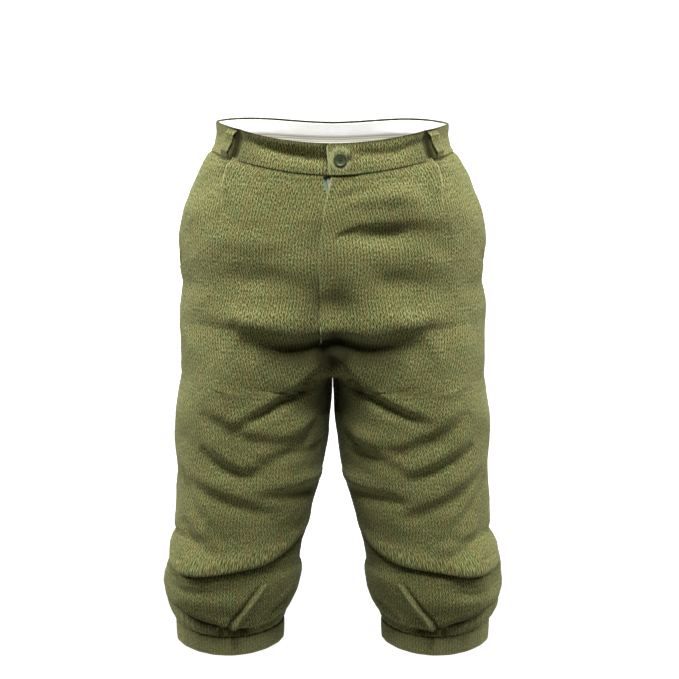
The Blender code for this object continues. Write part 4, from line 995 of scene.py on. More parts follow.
for word, side in SIDES:
    rows = edged_places(0.0, BAND_FOOT, (BAND_OUT - BAND_IN) / 2, BAND_ROW_COUNT)[0]
    first = band_end(side, rows)
    share = edged_places(0.0, 1.0, 0.0024, BAND_COUNT)
    around = first[:, None] + (2.0 - first)[:, None] * share
    drop = level_drops(rows, around)
    x = around * BAND_MIDDLE_LENGTH
    lift = tab_lift(around) if side > 0 else 0.0
    height = lift + (BAND_OUT + BAND_IN) / 2 + band_relief(side, around, drop)
    height = height + seam_roll((2.0 - around) * FACE_WIDTH, drop)
    grain = (around * band_length(around) + 0.0125, drop + 0.0207)
    # Shade is painted dark along the band's top edge, more behind, and beside the front loops,
    # narrow and broad.
    wear_and_painted_light = -(0.8 + 0.3 * fade(around, 1.06, 1.2)) * line_beside(drop - 0.8 * MM, 2.2)
    wear_and_painted_light = wear_and_painted_light - 0.95 * line_beside(x_beside_loop(around), 6.5)
    wear_and_painted_light = wear_and_painted_light - 0.4 * line_beside(x_beside_loop(around + 0.08), 22)
    if side > 0:
        # A highlight is painted pale along the tab's end and its lower edge near there, the band
        # is painted paler in a ring round the button, and shade is painted dark at the
        # buttonhole's outer end.
        near_tab = 1.0 - fade(around, 0.10, 0.22)
        rim = line_beside((around - first[:, None]) * BAND_MIDDLE_LENGTH, 1.8)
        wear_and_painted_light = wear_and_painted_light + near_tab * np.maximum(rim, 0.7 * line_beside(BAND_FOOT - drop, 1.6))
        from_button = np.hypot(x - 10.7 * MM, drop - 18 * MM)
        wear_and_painted_light = wear_and_painted_light + 0.6 * line_beside(from_button - 12 * MM, 3.0)
        from_hole_end = np.hypot(x - 22.5 * MM, (drop - 17 * MM) * 0.8)
        wear_and_painted_light = wear_and_painted_light - 1.6 * line_beside(from_hole_end, 3.4)
    else:
        # Shade is painted dark on the right end just past the tab's end.
        past_tab = fade(around, -0.02, 0.0) * (1.0 - fade(around, 0.06, 0.12))
        wear_and_painted_light = wear_and_painted_light - 0.45 * past_tab * line_beside(x - 9 * MM, 3.0)
    band = cloth_wall("tweed_waistband_" + word, side, around, drop, height,
                      BAND_OUT - BAND_IN, grain, wear_and_painted_light=wear_and_painted_light)
    declare_cloth(band, tweed, "waistband_" + word)

# ---------------------------------------------------------------------------- band lining
# White cotton sewn inside the band, with a grey ribbed strip woven along its lower part
# that grips a shirt. It hangs free for a centimetre below the band's seam.
LINING_THICKNESS = 1.0 * MM
LINING_OUT = BAND_IN - 0.4 * MM
LINING_TOP = 2.4 * MM
LINING_FOOT = 48 * MM
LINING_HANG = 2.6 * MM
LINING_START = 0.15 ** 1.25    # share of the band's length that it leaves bare in front
LINING_LAP = 0.8 * MM          # the two halves' ends are folded into each other
LINING_ROWS = 22

# Bleached cotton twill: nearly white and matt, with fine slanting lines. The strip is
# grey, with raised cords along the band every 2.9 mm, drawn coarser than real ones.
STRIP_TOP, STRIP_FOOT, STRIP_EDGE, STRIP_CORD = 19.5, 37.0, 0.6, 2.9
TWILL_PITCH = 1.5
cotton, tree, shader, mm = new_finish("bleached_cotton_twill", {
    "Roughness": 0.85, "Specular IOR Level": 0.3, "Sheen Weight": 0.1}, woven=True)
places = add_node(tree, "ShaderNodeSeparateXYZ", {"Vector": mm})
across, down = places.outputs["X"], places.outputs["Y"]
slant = add_node(tree, "ShaderNodeMath", {0: across, 1: down}, operation="ADD")
twill_turn = add_node(tree, "ShaderNodeMath", {0: slant, 1: 2.0 * math.pi / TWILL_PITCH},
                      operation="MULTIPLY")
twill = add_node(tree, "ShaderNodeMath", {0: twill_turn}, operation="SINE")
cord_turn = add_node(tree, "ShaderNodeMath", {0: down, 1: 2.0 * math.pi / STRIP_CORD},
                     operation="MULTIPLY")
cords = add_node(tree, "ShaderNodeMath", {0: cord_turn}, operation="SINE")
strip_in = add_node(tree, "ShaderNodeMapRange", {
    "Value": down, "From Min": STRIP_TOP, "From Max": STRIP_TOP + STRIP_EDGE})
strip_out = add_node(tree, "ShaderNodeMapRange", {
    "Value": down, "From Min": STRIP_FOOT, "From Max": STRIP_FOOT + STRIP_EDGE,
    "To Min": 1.0, "To Max": 0.0})
strip = add_node(tree, "ShaderNodeMath", {0: strip_in, 1: strip_out}, operation="MULTIPLY")
cord_shade = add_node(tree, "ShaderNodeMapRange",
                      {"Value": cords, "From Min": -1.0, "From Max": 1.0})
strip_colour = add_node(tree, "ShaderNodeMix",
                        {0: cord_shade, 6: linear("#a9a59c"), 7: linear("#dad6c9")},
                        data_type="RGBA")
creases = add_node(tree, "ShaderNodeTexNoise", {"Vector": mm, "Scale": 0.05, "Detail": 3.0},
                   noise_dimensions="2D")
white = add_node(tree, "ShaderNodeValToRGB", {"Fac": creases},
                 ramp=((0.3, "#f7f6f4"), (0.7, "#fefefd")))
cotton_colour = add_node(tree, "ShaderNodeMix",
                         {0: strip, 6: white, 7: strip_colour.outputs[2]}, data_type="RGBA")
cord_height = add_node(tree, "ShaderNodeMath", {0: cords, 1: strip}, operation="MULTIPLY")
cotton_height = add_node(tree, "ShaderNodeMath", {0: twill, 1: 0.25, 2: cord_height},
                         operation="MULTIPLY_ADD")
relief = add_node(tree, "ShaderNodeBump",
                  {"Height": cotton_height, "Strength": 0.3, "Distance": 0.0003})
set_inputs(shader, {"Base Color": cotton_colour.outputs[2], "Normal": relief})

for word, side in SIDES:
    rows = edged_places(LINING_TOP, LINING_FOOT, LINING_THICKNESS / 2, LINING_ROWS)[0]
    first = band_end(side, np.minimum(rows, BAND_FOOT))
    share = edged_places(LINING_START, 1.0, 0.001, BAND_COUNT)
    last = 2.0 + LINING_LAP / FACE_WIDTH
    around = first[:, None] + (last - first)[:, None] * share
    drop = level_drops(rows, around)
    lift = tab_lift(around) if side > 0 else 0.0
    hanging = fade(drop, 26 * MM, 38 * MM)
    height = lift * (1.0 - hanging) + LINING_OUT - LINING_HANG * hanging - LINING_THICKNESS / 2
    height = height + band_relief(side, around, drop) * (1.0 - hanging) * 0.9
    height = height - 0.5 * MM * hanging * (1.0 + np.sin(around * FACE_WIDTH / (9 * MM)))
    grain = (around * band_length(around), drop)
    lining = cloth_wall("cotton_lining_" + word, side, around, drop, height,
                        LINING_THICKNESS, grain)
    declare_cloth(lining, cotton, "waistband_lining_" + word)

# ---------------------------------------------------------------------------- belt loops
# Five folded straps of tweed, 13 mm wide, sewn down at the band's top edge and at its
# seam with a bar of close stitches, and standing off it between.
LOOP_WIDTH = 13 * MM
LOOP_THICKNESS = 1.5 * MM
LOOP_STAND = 5.0 * MM
LOOP_SEAT = BAND_OUT + 0.5 * MM
LOOP_TOP = 2.5 * MM
LOOP_FOOT = 37.6 * MM
LOOPS = (                      # name, side, round at the top, round at the foot
    ("belt_loop_front_left", 1, 0.682, 0.718),
    ("belt_loop_front_right", -1, 0.682, 0.718),
    ("belt_loop_back_left", 1, 1.400, 1.395),
    ("belt_loop_back_right", -1, 1.400, 1.395),
    ("belt_loop_centre_back", 1, 2.000, 2.000),
)


def loop_height(side, around, drop):
    """How far the strap's inner face stands off the cloth surface."""
    along = (drop - LOOP_TOP) / (LOOP_FOOT - LOOP_TOP)
    stand = LOOP_STAND * fade(along, 0.03, 0.17) * (1.0 - fade(along, 0.85, 0.98))
    return LOOP_SEAT + stand + band_relief(side, around, drop) * 0.9


for name, side, top_round, foot_round in LOOPS:
    rows = edged_places(LOOP_TOP, LOOP_FOOT, LOOP_THICKNESS / 2, 34)[0]
    half = LOOP_WIDTH / 2 / float(FACE_LENGTH[top_round > 1.0](BAND_HEIGHT / 2))
    middle = top_round + (foot_round - top_round) * (rows - LOOP_TOP) / (LOOP_FOOT - LOOP_TOP)
    around = edged_places(middle - half, middle + half, LOOP_THICKNESS / 2 / FACE_WIDTH, 14)
    drop = level_drops(rows, around)
    aside = (around - middle[:, None]) * FACE_WIDTH
    grain = (aside + 0.0021, drop + 0.011 + 0.07 * top_round)
    # Both long edges are rubbed pale and painted paler as highlights.
    wear_and_painted_light = 0.6 * line_beside(half * FACE_WIDTH - np.abs(aside), 1.6)
    strap = cloth_wall("tweed_" + name, side, around, drop,
                       loop_height(side, around, drop) + LOOP_THICKNESS / 2, LOOP_THICKNESS,
                       grain, wear_and_painted_light=wear_and_painted_light)
    declare_cloth(strap, tweed, name)

# ---------------------------------------------------------------------------- knee cuffs
# A plain folded band of tweed round each leg below the knee. The blouse is gathered into
# its upper edge, and its lower edge is a pressed fold.
CUFF_OUT = 0.8 * MM
CUFF_IN = -1.6 * MM
CUFF_ROWS = 12
CUFF_COUNT = 240

for word, side in SIDES:
    rows = edged_places(CUFF_TOP, CUFF_BOTTOM, (CUFF_OUT - CUFF_IN) / 2, CUFF_ROWS)[0]
    around = np.repeat(np.linspace(0.0, 2.0, CUFF_COUNT)[None, :], len(rows), axis=0)
    drop = level_drops(rows, around)
    height = (CUFF_OUT + CUFF_IN) / 2 + 0.25 * MM * np.sin(around * 2.0 * math.pi * 9.0)
    height = height + 0.5 * MM * np.sin(np.pi * (drop - CUFF_TOP) / (CUFF_BOTTOM - CUFF_TOP))
    grain = (around * float(FACE_LENGTH[False](CUFF_TOP)) + 0.0013, drop + 0.017)
    # The cuff is painted paler all over as light, more along its pressed lower fold, which is also
    # rubbed, and shade is painted dark along its seam.
    wear_and_painted_light = (0.2 + 0.5 * line_beside(CUFF_BOTTOM - drop, 1.6)
            - 0.2 * line_beside(drop - CUFF_TOP, 1.2))
    cuff = cloth_wall("tweed_cuff_" + word, side, around, drop, height, CUFF_OUT - CUFF_IN,
                      grain, ring=True, wear_and_painted_light=wear_and_painted_light)
    declare_cloth(cuff, tweed, "cuff_" + word)

# ---------------------------------------------------------------------------- zip
# A woven green tape sewn behind the fly, with a metal chain of interlocked teeth. Only
# its top shows, where the fly's edges part below the tab.
ZIP_MIDDLE = -2 * MM
TAPE_HALF = 12 * MM
TAPE_THICKNESS = 0.8 * MM
TAPE_TOP = 36 * MM
TAPE_FOOT = 236 * MM
TAPE_SEAT = -CLOTH - 0.5 * MM
TAPE_SAG_TOP = 5.2 * MM
TAPE_SAG_FOOT = 1.6 * MM
CHAIN_STEPS = 120


def tape_height(x, drop):
    """The tape's height off the cloth surface: it sags along the chain, most at its top."""
    sag = TAPE_SAG_TOP + (TAPE_SAG_FOOT - TAPE_SAG_TOP) * fade(drop, TAPE_TOP, 130 * MM)
    return TAPE_SEAT - sag * np.clip(1.0 - (x / TAPE_HALF) ** 2, 0.0, 1.0)


# Polyester zip tape: a fine close weave with a slight gloss, in narrow lengthwise ribs.
webbing, tree, shader, mm = new_finish("woven_polyester_tape", {
    "Roughness": 0.6, "Specular IOR Level": 0.4}, woven=True)
ribs = add_node(tree, "ShaderNodeTexWave", {
    "Vector": mm, "Scale": 0.22, "Distortion": 1.0, "Detail": 2.0, "Detail Scale": 3.0})
tape_colours = add_node(tree, "ShaderNodeValToRGB", {"Fac": ribs.outputs["Fac"]},
                        ramp=((0.0, "#4d6049"), (1.0, "#7d9075")))
relief = add_node(tree, "ShaderNodeBump",
                  {"Height": ribs.outputs["Fac"], "Strength": 0.3, "Distance": 0.0002})
set_inputs(shader, {"Base Color": tape_colours, "Normal": relief})

rows = edged_places(TAPE_TOP, TAPE_FOOT, TAPE_THICKNESS / 2, 90)[0]
x = np.repeat(edged_places(-TAPE_HALF, TAPE_HALF, TAPE_THICKNESS / 2, 24), len(rows), axis=0)
drop = level_drops(rows, x)
tape = cloth_wall("zip_woven_tape", 1, (x + ZIP_MIDDLE) / FACE_LENGTH[False](drop), drop,
                  tape_height(x, drop) - TAPE_THICKNESS / 2, TAPE_THICKNESS, (x, drop))
declare_cloth(tape, webbing, "zip_tape")

# Nickel-plated brass: a pale warm grey metal, polished, with faint scratches and dulled
# spots that spread its highlights.
nickel, tree, shader, mm = new_finish("nickel_plated_brass", {"Metallic": 1.0},
                                      scale=(1000.0, 1000.0, 250.0))
scuffs = add_node(tree, "ShaderNodeTexNoise", {"Vector": mm, "Scale": 1.4, "Detail": 4.0})
gloss = add_node(tree, "ShaderNodeMapRange", {
    "Value": scuffs, "From Min": 0.3, "From Max": 0.7, "To Min": 0.28, "To Max": 0.48})
metal_tone = add_node(tree, "ShaderNodeValToRGB", {"Fac": scuffs},
                      ramp=((0.0, "#cfccc2"), (1.0, "#f4f2ea")))
set_inputs(shader, {"Base Color": metal_tone, "Roughness": gloss})


def shape_tree(name, inputs):
    """A Geometry Nodes tree with named inputs, its input node, and each input's key."""
    tree = bpy.data.node_groups.new(name, "GeometryNodeTree")
    tree.interface.new_socket("Geometry", in_out="INPUT", socket_type="NodeSocketGeometry")
    keys = {}
    for label, kind in inputs:
        socket = tree.interface.new_socket(label, in_out="INPUT", socket_type=kind)
        keys[label] = socket.identifier
    tree.interface.new_socket("Geometry", in_out="OUTPUT", socket_type="NodeSocketGeometry")
    return tree, add_node(tree, "NodeGroupInput"), keys


def baked(thing, tree, keys, values):
    """Gives a thing the mesh that a Geometry Nodes tree makes of it, and drops the tree."""
    modifier = thing.modifiers.new("make", "NODES")
    modifier.node_group = tree
    for label, value in values.items():
        modifier[keys[label]] = value
    thing.update_tag()
    seen = thing.evaluated_get(bpy.context.evaluated_depsgraph_get())
    mesh = bpy.data.meshes.new_from_object(seen)
    thing.modifiers.clear()
    thing.data = mesh


# The teeth: a tree that sets one small block at each step of the chain's line, turned
# with it and shifted to its two sides in turn, so that each side's teeth end a little
# past the chain's middle.
TOOTH_SIZES = {"Pitch": 1.25 * MM, "Length": 2.9 * MM, "Width": 0.75 * MM,
               "Height": 1.5 * MM, "Shift": 0.9 * MM}
tree, given, tooth_keys = shape_tree("teeth_along_chain",
                                     [(label, "NodeSocketFloat") for label in TOOTH_SIZES])
line = add_node(tree, "GeometryNodeMeshToCurve", {"Mesh": given.outputs["Geometry"]})
steps = add_node(tree, "GeometryNodeResampleCurve",
                 {"Curve": line, "Length": given.outputs["Pitch"]}, mode="LENGTH")
tangent = add_node(tree, "GeometryNodeInputTangent")
kept = add_node(tree, "GeometryNodeCaptureAttribute", {"Geometry": steps})
kept.capture_items.new("VECTOR", "Tangent")
set_inputs(kept, {"Tangent": tangent})
seats = add_node(tree, "GeometryNodeCurveToPoints", {"Curve": kept.outputs["Geometry"]},
                 mode="EVALUATED")
size = add_node(tree, "ShaderNodeCombineXYZ", {
    "X": given.outputs["Length"], "Y": given.outputs["Height"], "Z": given.outputs["Width"]})
block = add_node(tree, "GeometryNodeMeshCube", {"Size": size})
turned = add_node(tree, "FunctionNodeAlignRotationToVector",
                  {"Vector": kept.outputs["Tangent"]}, axis="Z", pivot_axis="X")
set_teeth = add_node(tree, "GeometryNodeInstanceOnPoints",
                     {"Points": seats, "Instance": block, "Rotation": turned})
index = add_node(tree, "GeometryNodeInputIndex")
parity = add_node(tree, "ShaderNodeMath", {0: index, 1: 2.0}, operation="MODULO")
swing = add_node(tree, "ShaderNodeMath", {0: parity, 1: 2.0, 2: -1.0}, operation="MULTIPLY_ADD")
sideways = add_node(tree, "ShaderNodeMath", {0: swing, 1: given.outputs["Shift"]},
                    operation="MULTIPLY")
aside = add_node(tree, "ShaderNodeCombineXYZ", {"X": sideways})
shifted = add_node(tree, "GeometryNodeTranslateInstances",
                   {"Instances": set_teeth, "Translation": aside, "Local Space": False})
real = add_node(tree, "GeometryNodeRealizeInstances", {"Geometry": shifted})
plated = add_node(tree, "GeometryNodeSetMaterial", {"Geometry": real, "Material": nickel})
add_node(tree, "NodeGroupOutput", {"Geometry": plated})

chain_drop = np.linspace(TAPE_TOP + 6 * MM, TAPE_FOOT - 6 * MM, CHAIN_STEPS)
chain_around = ZIP_MIDDLE / FACE_LENGTH[False](chain_drop)
above = tape_height(np.zeros(CHAIN_STEPS), chain_drop) + TOOTH_SIZES["Height"] * 0.3
chain = (cloth_point(1, chain_around, chain_drop)
         + above[:, None] * base_normal(chain_around, chain_drop))
teeth = add_mesh("zip_teeth", chain.tolist(), [], [(i, i + 1) for i in range(CHAIN_STEPS - 1)])
baked(teeth, tree, tooth_keys, TOOTH_SIZES)
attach(teeth, "garment")
for name in ("zip_slider", "zip_pull"):
    metal_part = bpy.data.objects[name]
    metal_part.data.materials.clear()
    metal_part.data.materials.append(nickel)

# ---------------------------------------------------------------------------- button
# A four-hole button of dark green polyester with a rolled rim, sewn through the tab to
# the band's right end with a cross of green thread.
BUTTON_PLACE = np.array((0.01070, -0.11883, -0.04119))
BUTTON_FRAME = np.array(((1.0, 0.0, 0.0), (0.0, 0.1001, -0.995), (0.0, 0.995, 0.1001)))
BUTTON_PROFILE = (             # radius and height in mm, from the back to the front's middle
    (7.4, 0.0), (8.3, 0.15), (9.0, 0.6), (9.2, 1.3), (9.2, 1.9), (9.0, 2.5), (8.4, 2.95),
    (7.7, 3.1), (7.1, 3.0), (6.5, 2.7), (6.0, 2.4), (4.9, 2.25), (3.0, 2.15), (1.5, 2.1),
)
BUTTON_SIDES = 72
HOLE_PROFILE = ((1.15, -1.0), (0.9, 0.4), (0.9, 1.7), (1.25, 2.25), (1.25, 4.0))
HOLE_SIDES = 20
HOLE_OFFSET = 1.45
HOLE_TURN = math.radians(20)


def lathe(profile, sides):
    """Points and faces of a turned shape about the third axis; its two caps come first."""
    turn = np.linspace(0.0, 2.0 * math.pi, sides, endpoint=False)
    points = [(radius * math.cos(a), radius * math.sin(a), height)
              for radius, height in profile for a in turn]
    rings = len(profile)
    faces = [tuple(range(sides - 1, -1, -1)), tuple((rings - 1) * sides + i for i in range(sides))]
    for ring in range(rings - 1):
        for i in range(sides):
            here, beside = ring * sides + i, ring * sides + (i + 1) % sides
            faces.append((here, beside, beside + sides, here + sides))
    return points, faces


hole_points, hole_faces, hole_middles = [], [], []
for number in range(4):
    angle = HOLE_TURN + math.pi / 4 + number * math.pi / 2
    middle = HOLE_OFFSET * math.sqrt(2.0) * np.array((math.cos(angle), math.sin(angle)))
    hole_middles.append(middle)
    points, faces = lathe(HOLE_PROFILE, HOLE_SIDES)
    hole_faces += [tuple(i + len(hole_points) for i in face) for face in faces]
    hole_points += [(x + middle[0], y + middle[1], z) for x, y, z in points]
disc = add_mesh("button_disc", *lathe(BUTTON_PROFILE, BUTTON_SIDES))
drills = add_mesh("button_drills", hole_points, hole_faces)
cut = disc.modifiers.new("holes", "BOOLEAN")
cut.object, cut.operation, cut.solver = drills, "DIFFERENCE", "EXACT"
button_mesh = bpy.data.meshes.new_from_object(
    disc.evaluated_get(bpy.context.evaluated_depsgraph_get()))
for tool in (disc, drills):
    bpy.data.objects.remove(tool, do_unlink=True)
flat = np.empty(len(button_mesh.vertices) * 3)
button_mesh.vertices.foreach_get("co", flat)
placed = BUTTON_PLACE + flat.reshape(-1, 3) * MM @ BUTTON_FRAME.T
button_mesh.vertices.foreach_set("co", placed.ravel())
button_mesh.shade_smooth()
button_mesh.set_sharp_from_angle(angle=math.radians(50))
button = add_object("green_button", button_mesh)
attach(button, "garment")
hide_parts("button")

# Cast polyester: dark green, clouded with paler streaks, and polished, so it has a small
# clear highlight.
resin, tree, shader, mm = new_finish("polished_polyester_resin", {
    "Roughness": 0.5, "Specular IOR Level": 0.35, "IOR": 1.54, "Coat Weight": 0.06,
    "Coat Roughness": 0.25}, scale=(1000.0, 1000.0, 1600.0))
marble = add_node(tree, "ShaderNodeTexNoise",
                  {"Vector": mm, "Scale": 0.22, "Detail": 4.0, "Distortion": 1.4})
resin_colours = add_node(tree, "ShaderNodeValToRGB", {"Fac": marble},
                         ramp=((0.35, "#232c18"), (0.7, "#46502e")))
set_inputs(shader, {"Base Color": resin_colours})
button.data.materials.append(resin)

# ---------------------------------------------------------------------------- stitching
# Green buttonhole twist round the hole in the tab and through the button, pale thread in
# the fly's two bar tacks, and green bars that hold the belt loops' ends. Each stitch is a
# short rounded float of thread.
THREAD = 0.55 * MM             # thick, as drawn; the real one is about half as thick
THREAD_SHADE = 0.65            # how dark the dye is where it took unevenly


def cotton_thread(name, code):
    """Mercerised cotton: a soft sheen along the thread, and slightly uneven dye."""
    finish, tree, shader, mm = new_finish(name, {
        "Roughness": 0.6, "Specular IOR Level": 0.4, "Sheen Weight": 0.2})
    uneven = add_node(tree, "ShaderNodeTexNoise", {"Vector": mm, "Scale": 0.9, "Detail": 2.0})
    tones = add_node(tree, "ShaderNodeValToRGB", {"Fac": uneven},
                     ramp=((0.3, code), (0.7, code)))
    shade = tones.color_ramp.elements[0]
    shade.color = (*(THREAD_SHADE * part for part in linear(code)[:3]), 1.0)
    set_inputs(shader, {"Base Color": tones})
    return finish


green_thread = cotton_thread("green_cotton_thread", "#76784c")
dark_thread = cotton_thread("dark_green_cotton_thread", "#241d12")
pale_thread = cotton_thread("pale_cotton_thread", "#dfddca")

# The stitch tree: a float of thread at each point of a mesh, laid along the point's own
# direction, with rounded ends.
stitch_tree, given, stitch_keys = shape_tree("stitches_at_points", (
    ("Thread", "NodeSocketFloat"), ("Seed", "NodeSocketInt"), ("Finish", "NodeSocketMaterial")))
way = add_node(stitch_tree, "GeometryNodeInputNamedAttribute", {"Name": "way"},
               data_type="FLOAT_VECTOR")
span = add_node(stitch_tree, "GeometryNodeInputNamedAttribute", {"Name": "span"},
                data_type="FLOAT")
stitch_turn = add_node(stitch_tree, "FunctionNodeAlignRotationToVector",
                       {"Vector": way.outputs["Attribute"]}, axis="Z")
bead = add_node(stitch_tree, "GeometryNodeMeshUVSphere",
                {"Segments": 8, "Rings": 6, "Radius": 0.5})
fatter = add_node(stitch_tree, "FunctionNodeRandomValue",
                  {"Seed": given.outputs["Seed"], 2: 0.85, 3: 1.15}, data_type="FLOAT")
thick = add_node(stitch_tree, "ShaderNodeMath",
                 {0: given.outputs["Thread"], 1: fatter.outputs[1]}, operation="MULTIPLY")
stitch_size = add_node(stitch_tree, "ShaderNodeCombineXYZ",
                       {"X": thick, "Y": thick, "Z": span.outputs["Attribute"]})
laid = add_node(stitch_tree, "GeometryNodeInstanceOnPoints", {
    "Points": given.outputs["Geometry"], "Instance": bead, "Rotation": stitch_turn,
    "Scale": stitch_size})
real = add_node(stitch_tree, "GeometryNodeRealizeInstances", {"Geometry": laid})
smooth = add_node(stitch_tree, "GeometryNodeSetShadeSmooth", {"Geometry": real})
dyed = add_node(stitch_tree, "GeometryNodeSetMaterial",
                {"Geometry": smooth, "Material": given.outputs["Finish"]})
add_node(stitch_tree, "NodeGroupOutput", {"Geometry": dyed})


def stitches(name, starts, ends, finish, thread=THREAD):
    """One stitch of thread between each start and end, as one piece on the garment."""
    starts, ends = np.asarray(starts), np.asarray(ends)
    sewn = add_mesh(name, ((starts + ends) / 2.0).tolist(), [])
    ways = sewn.data.attributes.new("way", "FLOAT_VECTOR", "POINT")
    ways.data.foreach_set("vector", (ends - starts).ravel())
    spans = sewn.data.attributes.new("span", "FLOAT", "POINT")
    spans.data.foreach_set("value", np.linalg.norm(ends - starts, axis=1))
    baked(sewn, stitch_tree, stitch_keys, {"Thread": thread, "Seed": 5, "Finish": finish})
    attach(sewn, "garment")


def above_cloth(side, around, drop, height):
    """Points at a height off one side's cloth surface."""
    places = cloth_point(side, around, drop) + height[:, None] * base_normal(around, drop)
    return places * (side, 1.0, 1.0)


def on_tab(x, drop, above):
    """Points above the tab's outer face, given x in front and the drop."""
    around = x / BAND_MIDDLE_LENGTH
    height = tab_lift(around) + BAND_OUT + band_relief(1, around, drop) + above
    return above_cloth(1, around, drop, height)


# The buttonhole: a slot along the band, worked over its lips and round its outer end.
HOLE_INNER, HOLE_OUTER, HOLE_DROP = 10 * MM, 21.5 * MM, 18.5 * MM
HOLE_LIP, HOLE_EYE = 0.45 * MM, 0.5 * MM
STITCH_LENGTH = 2.6 * MM
slot_steps = np.arange(HOLE_INNER, HOLE_OUTER, 0.62 * MM)
eye_turns = np.radians(np.arange(-80.0, 81.0, 20.0))


def round_hole(out):
    """Places round the slot, this far out from its lips and its eye."""
    lip, eye = np.full(len(slot_steps), HOLE_LIP + out), HOLE_EYE + out
    x = np.concatenate((slot_steps, slot_steps, HOLE_OUTER + eye * np.cos(eye_turns)))
    drop = HOLE_DROP + np.concatenate((-lip, lip, eye * np.sin(eye_turns)))
    return x, drop


stitches("buttonhole_stitches", on_tab(*round_hole(0.0), 0.1 * MM),
         on_tab(*round_hole(STITCH_LENGTH), 0.0), dark_thread)

# The slot's gap between the lips: a thin cushion of dark thread that paints its shadow.
gap_x = np.arange(HOLE_INNER, HOLE_OUTER - 1 * MM, 0.8 * MM)
gap_drop = np.full(len(gap_x), HOLE_DROP)
stitches("buttonhole_gap", on_tab(gap_x, gap_drop, -0.12 * MM),
         on_tab(gap_x + 1.6 * MM, gap_drop, -0.12 * MM), dark_thread)

# The button's cross of thread, just above its sunk middle.
cross_starts, cross_ends = [], []
for first_hole, second_hole in ((0, 2), (1, 3)):
    for aside in (-0.28, 0.0, 0.28):
        start_2d, end_2d = hole_middles[first_hole], hole_middles[second_hole]
        across_2d = (end_2d - start_2d) / np.linalg.norm(end_2d - start_2d)
        shift_2d = aside * np.array((-across_2d[1], across_2d[0]))
        for spot, kept in ((start_2d, cross_starts), (end_2d, cross_ends)):
            kept.append(BUTTON_PLACE + BUTTON_FRAME @ (
                np.array((*(spot * 1.06 + shift_2d), 2.15 + 0.1 * first_hole)) * MM))
stitches("button_sewing_thread", cross_starts, cross_ends, dark_thread, 0.6 * MM)

# Two bar tacks close the fly's lower end: pale stitches across its folded edge.
TACKS = ((258 * MM, 266 * MM), (278 * MM, 290 * MM))
tack_drop = np.concatenate([np.arange(top, foot, 1.9 * MM) for top, foot in TACKS])
tack_round = -(FLAP_EDGE(tack_drop) - 0.9 * MM) / FACE_LENGTH[False](tack_drop)
tack_starts, tack_ends = (
    above_cloth(1, tack_round, drop, 0.5 * MM + flap_lift(tack_round, drop))
    for drop in (tack_drop, tack_drop + 1.7 * MM))
stitches("fly_bar_tacks", tack_starts, tack_ends, pale_thread, 1.0 * MM)

# The loops' bars: close stitches across each strap near its two ends.
BAR_STITCHES = 13
bar_starts, bar_ends = [], []
for name, side, top_round, foot_round in LOOPS:
    half = (LOOP_WIDTH / 2 - 1.2 * MM) / float(FACE_LENGTH[top_round > 1.0](BAND_HEIGHT / 2))
    for share_down in (0.045, 0.955):
        middle = top_round + (foot_round - top_round) * share_down
        around = np.linspace(middle - half, middle + half, BAR_STITCHES)
        drop = np.full(BAR_STITCHES, LOOP_TOP + (LOOP_FOOT - LOOP_TOP) * share_down)
        height = loop_height(side, around, drop) + LOOP_THICKNESS + 0.05 * MM
        bar_starts.append(above_cloth(side, around, drop - 1.0 * MM, height))
        bar_ends.append(above_cloth(side, around, drop + 1.0 * MM, height))
stitches("belt_loop_bar_tacks", np.concatenate(bar_starts), np.concatenate(bar_ends),
         green_thread, 0.5 * MM)

# ---------------------------------------------------------------------------- studio
# White paper well below the piece, sweeping up behind it, one broad soft lamp high in
# front, weaker ones at the sides, and a lamp that whitens the sweep.
LAMPS = (                      # name, place, aim, size in metres, watts
    ("lamp_front", (0.05, -1.55, 2.30), (0.0, 0.0, -0.25), 1.0, 166.0),
    ("lamp_left", (-2.2, 0.5, 0.8), (0.0, 0.0, -0.25), 1.0, 80.0),
    ("lamp_right", (2.2, 0.5, 0.8), (0.0, 0.0, -0.25), 1.0, 80.0),
    ("lamp_behind", (0.0, 1.9, 1.6), (0.0, 0.0, -0.20), 1.2, 40.0),
)
for name, place, aim, size, watts in LAMPS:
    lamp = add_object(name, bpy.data.lights.new(name, "AREA"))
    lamp.data.energy, lamp.data.size, lamp.location = watts, size, place
    toward = np.array(aim) - np.array(place)
    lamp.rotation_euler = (math.atan2(math.hypot(toward[0], toward[1]), -toward[2]), 0.0,
                           math.atan2(-toward[0], toward[1]))

world = bpy.data.worlds.new("studio")
world.use_nodes = True
sky = world.node_tree
world_way = add_node(sky, "ShaderNodeTexCoord")
world_rise = add_node(sky, "ShaderNodeSeparateXYZ", {"Vector": world_way.outputs["Generated"]})
world_glow = add_node(sky, "ShaderNodeMapRange", {
    "Value": world_rise.outputs["Z"], "From Min": 0.25, "From Max": 0.6,
    "To Min": 0.35, "To Max": 0.05})
set_inputs(sky.nodes["Background"], {"Strength": world_glow})
bpy.context.scene.world = world
bpy.context.scene.view_settings.view_transform = "Standard"

FLOOR_Z = -1.6
FLOOR_HALF = 14.0
SWEEP_HALF = 2.6
BOWL_RADIUS = 3.6              # its flat floor's
BOWL_Z = FLOOR_Z + 0.01
BOWL_SIDES = 64


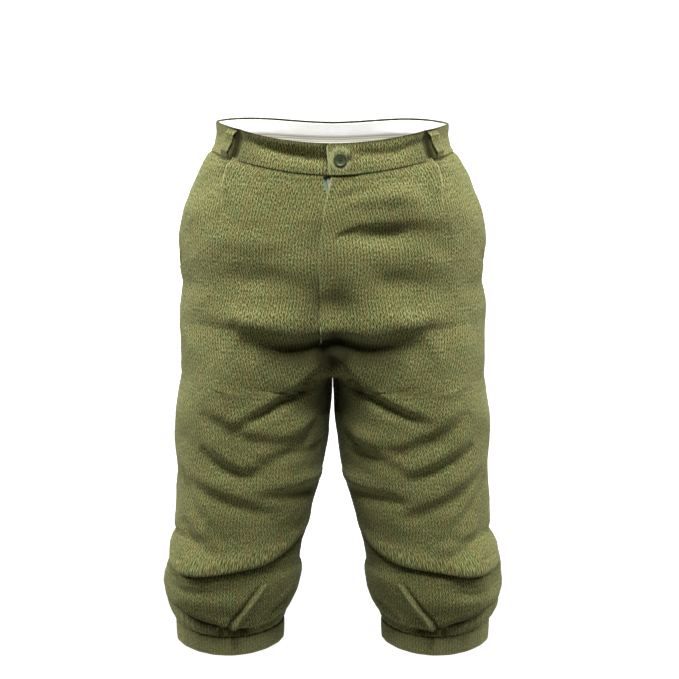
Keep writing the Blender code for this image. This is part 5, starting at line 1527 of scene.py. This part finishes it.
def matt_paper(name, glow, tones=("#f1f1ef", "#f6f6f5")):
    """Paper with its own glow, faintly uneven from its fibres."""
    paper, tree, shader, metres = new_finish(name, {
        "Roughness": 0.9, "Specular IOR Level": 0.2, "Emission Color": (1.0, 1.0, 1.0, 1.0),
        "Emission Strength": glow}, scale=(1.0, 1.0, 1.0))
    fibre = add_node(tree, "ShaderNodeTexNoise", {"Vector": metres, "Scale": 60.0, "Detail": 3.0})
    tone = add_node(tree, "ShaderNodeValToRGB", {"Fac": fibre},
                    ramp=((0.0, tones[0]), (1.0, tones[1])))
    set_inputs(shader, {"Base Color": tone})
    return paper


def paper_sheet(name, points, faces, paper):
    """A smooth sheet that is no part of the garment."""
    sheet = add_mesh(name, points, faces)
    sheet.data.shade_smooth()
    sheet.data.materials.append(paper)
    return sheet


def straight_sheet(name, rows, half, paper):
    """A sheet of paper across the studio through rows of (y, z)."""
    points = [(x, y, z) for y, z in rows for x in (-half, half)]
    faces = [(2 * i, 2 * i + 1, 2 * i + 3, 2 * i + 2) for i in range(len(rows) - 1)]
    paper_sheet(name, points, faces, paper)


def upward_curve(out, level, radius):
    """Places on a quarter circle that turns up from level, after its first."""
    turns = [math.radians(7.5 * step) for step in range(1, 13)]
    return [(out + radius * math.sin(a), level + radius * (1.0 - math.cos(a))) for a in turns]


straight_sheet("floor", [(-FLOOR_HALF, FLOOR_Z), (2.2, FLOOR_Z)], FLOOR_HALF,
               matt_paper("matt_pale_paper", 0.0, ("#a3a3a1", "#a8a8a7")))
straight_sheet("backdrop", [(2.2, FLOOR_Z), (5.2, FLOOR_Z), *upward_curve(5.2, FLOOR_Z, 1.6),
                            (6.8, 3.0)], SWEEP_HALF, matt_paper("matt_white_paper", 0.85))

# All round stands plain white paper that only the camera sees, so it adds no light.
bowl = [(BOWL_RADIUS, BOWL_Z), *upward_curve(BOWL_RADIUS, BOWL_Z, 1.2), (4.8, 4.0)]
points, faces = lathe(bowl, BOWL_SIDES)
surround = paper_sheet("surround", points, [tuple(range(BOWL_SIDES)), *faces[2:]],
                       matt_paper("white_surround_paper", 1.0))
surround.visible_diffuse = surround.visible_glossy = surround.visible_transmission = False
surround.visible_shadow = surround.visible_volume_scatter = False
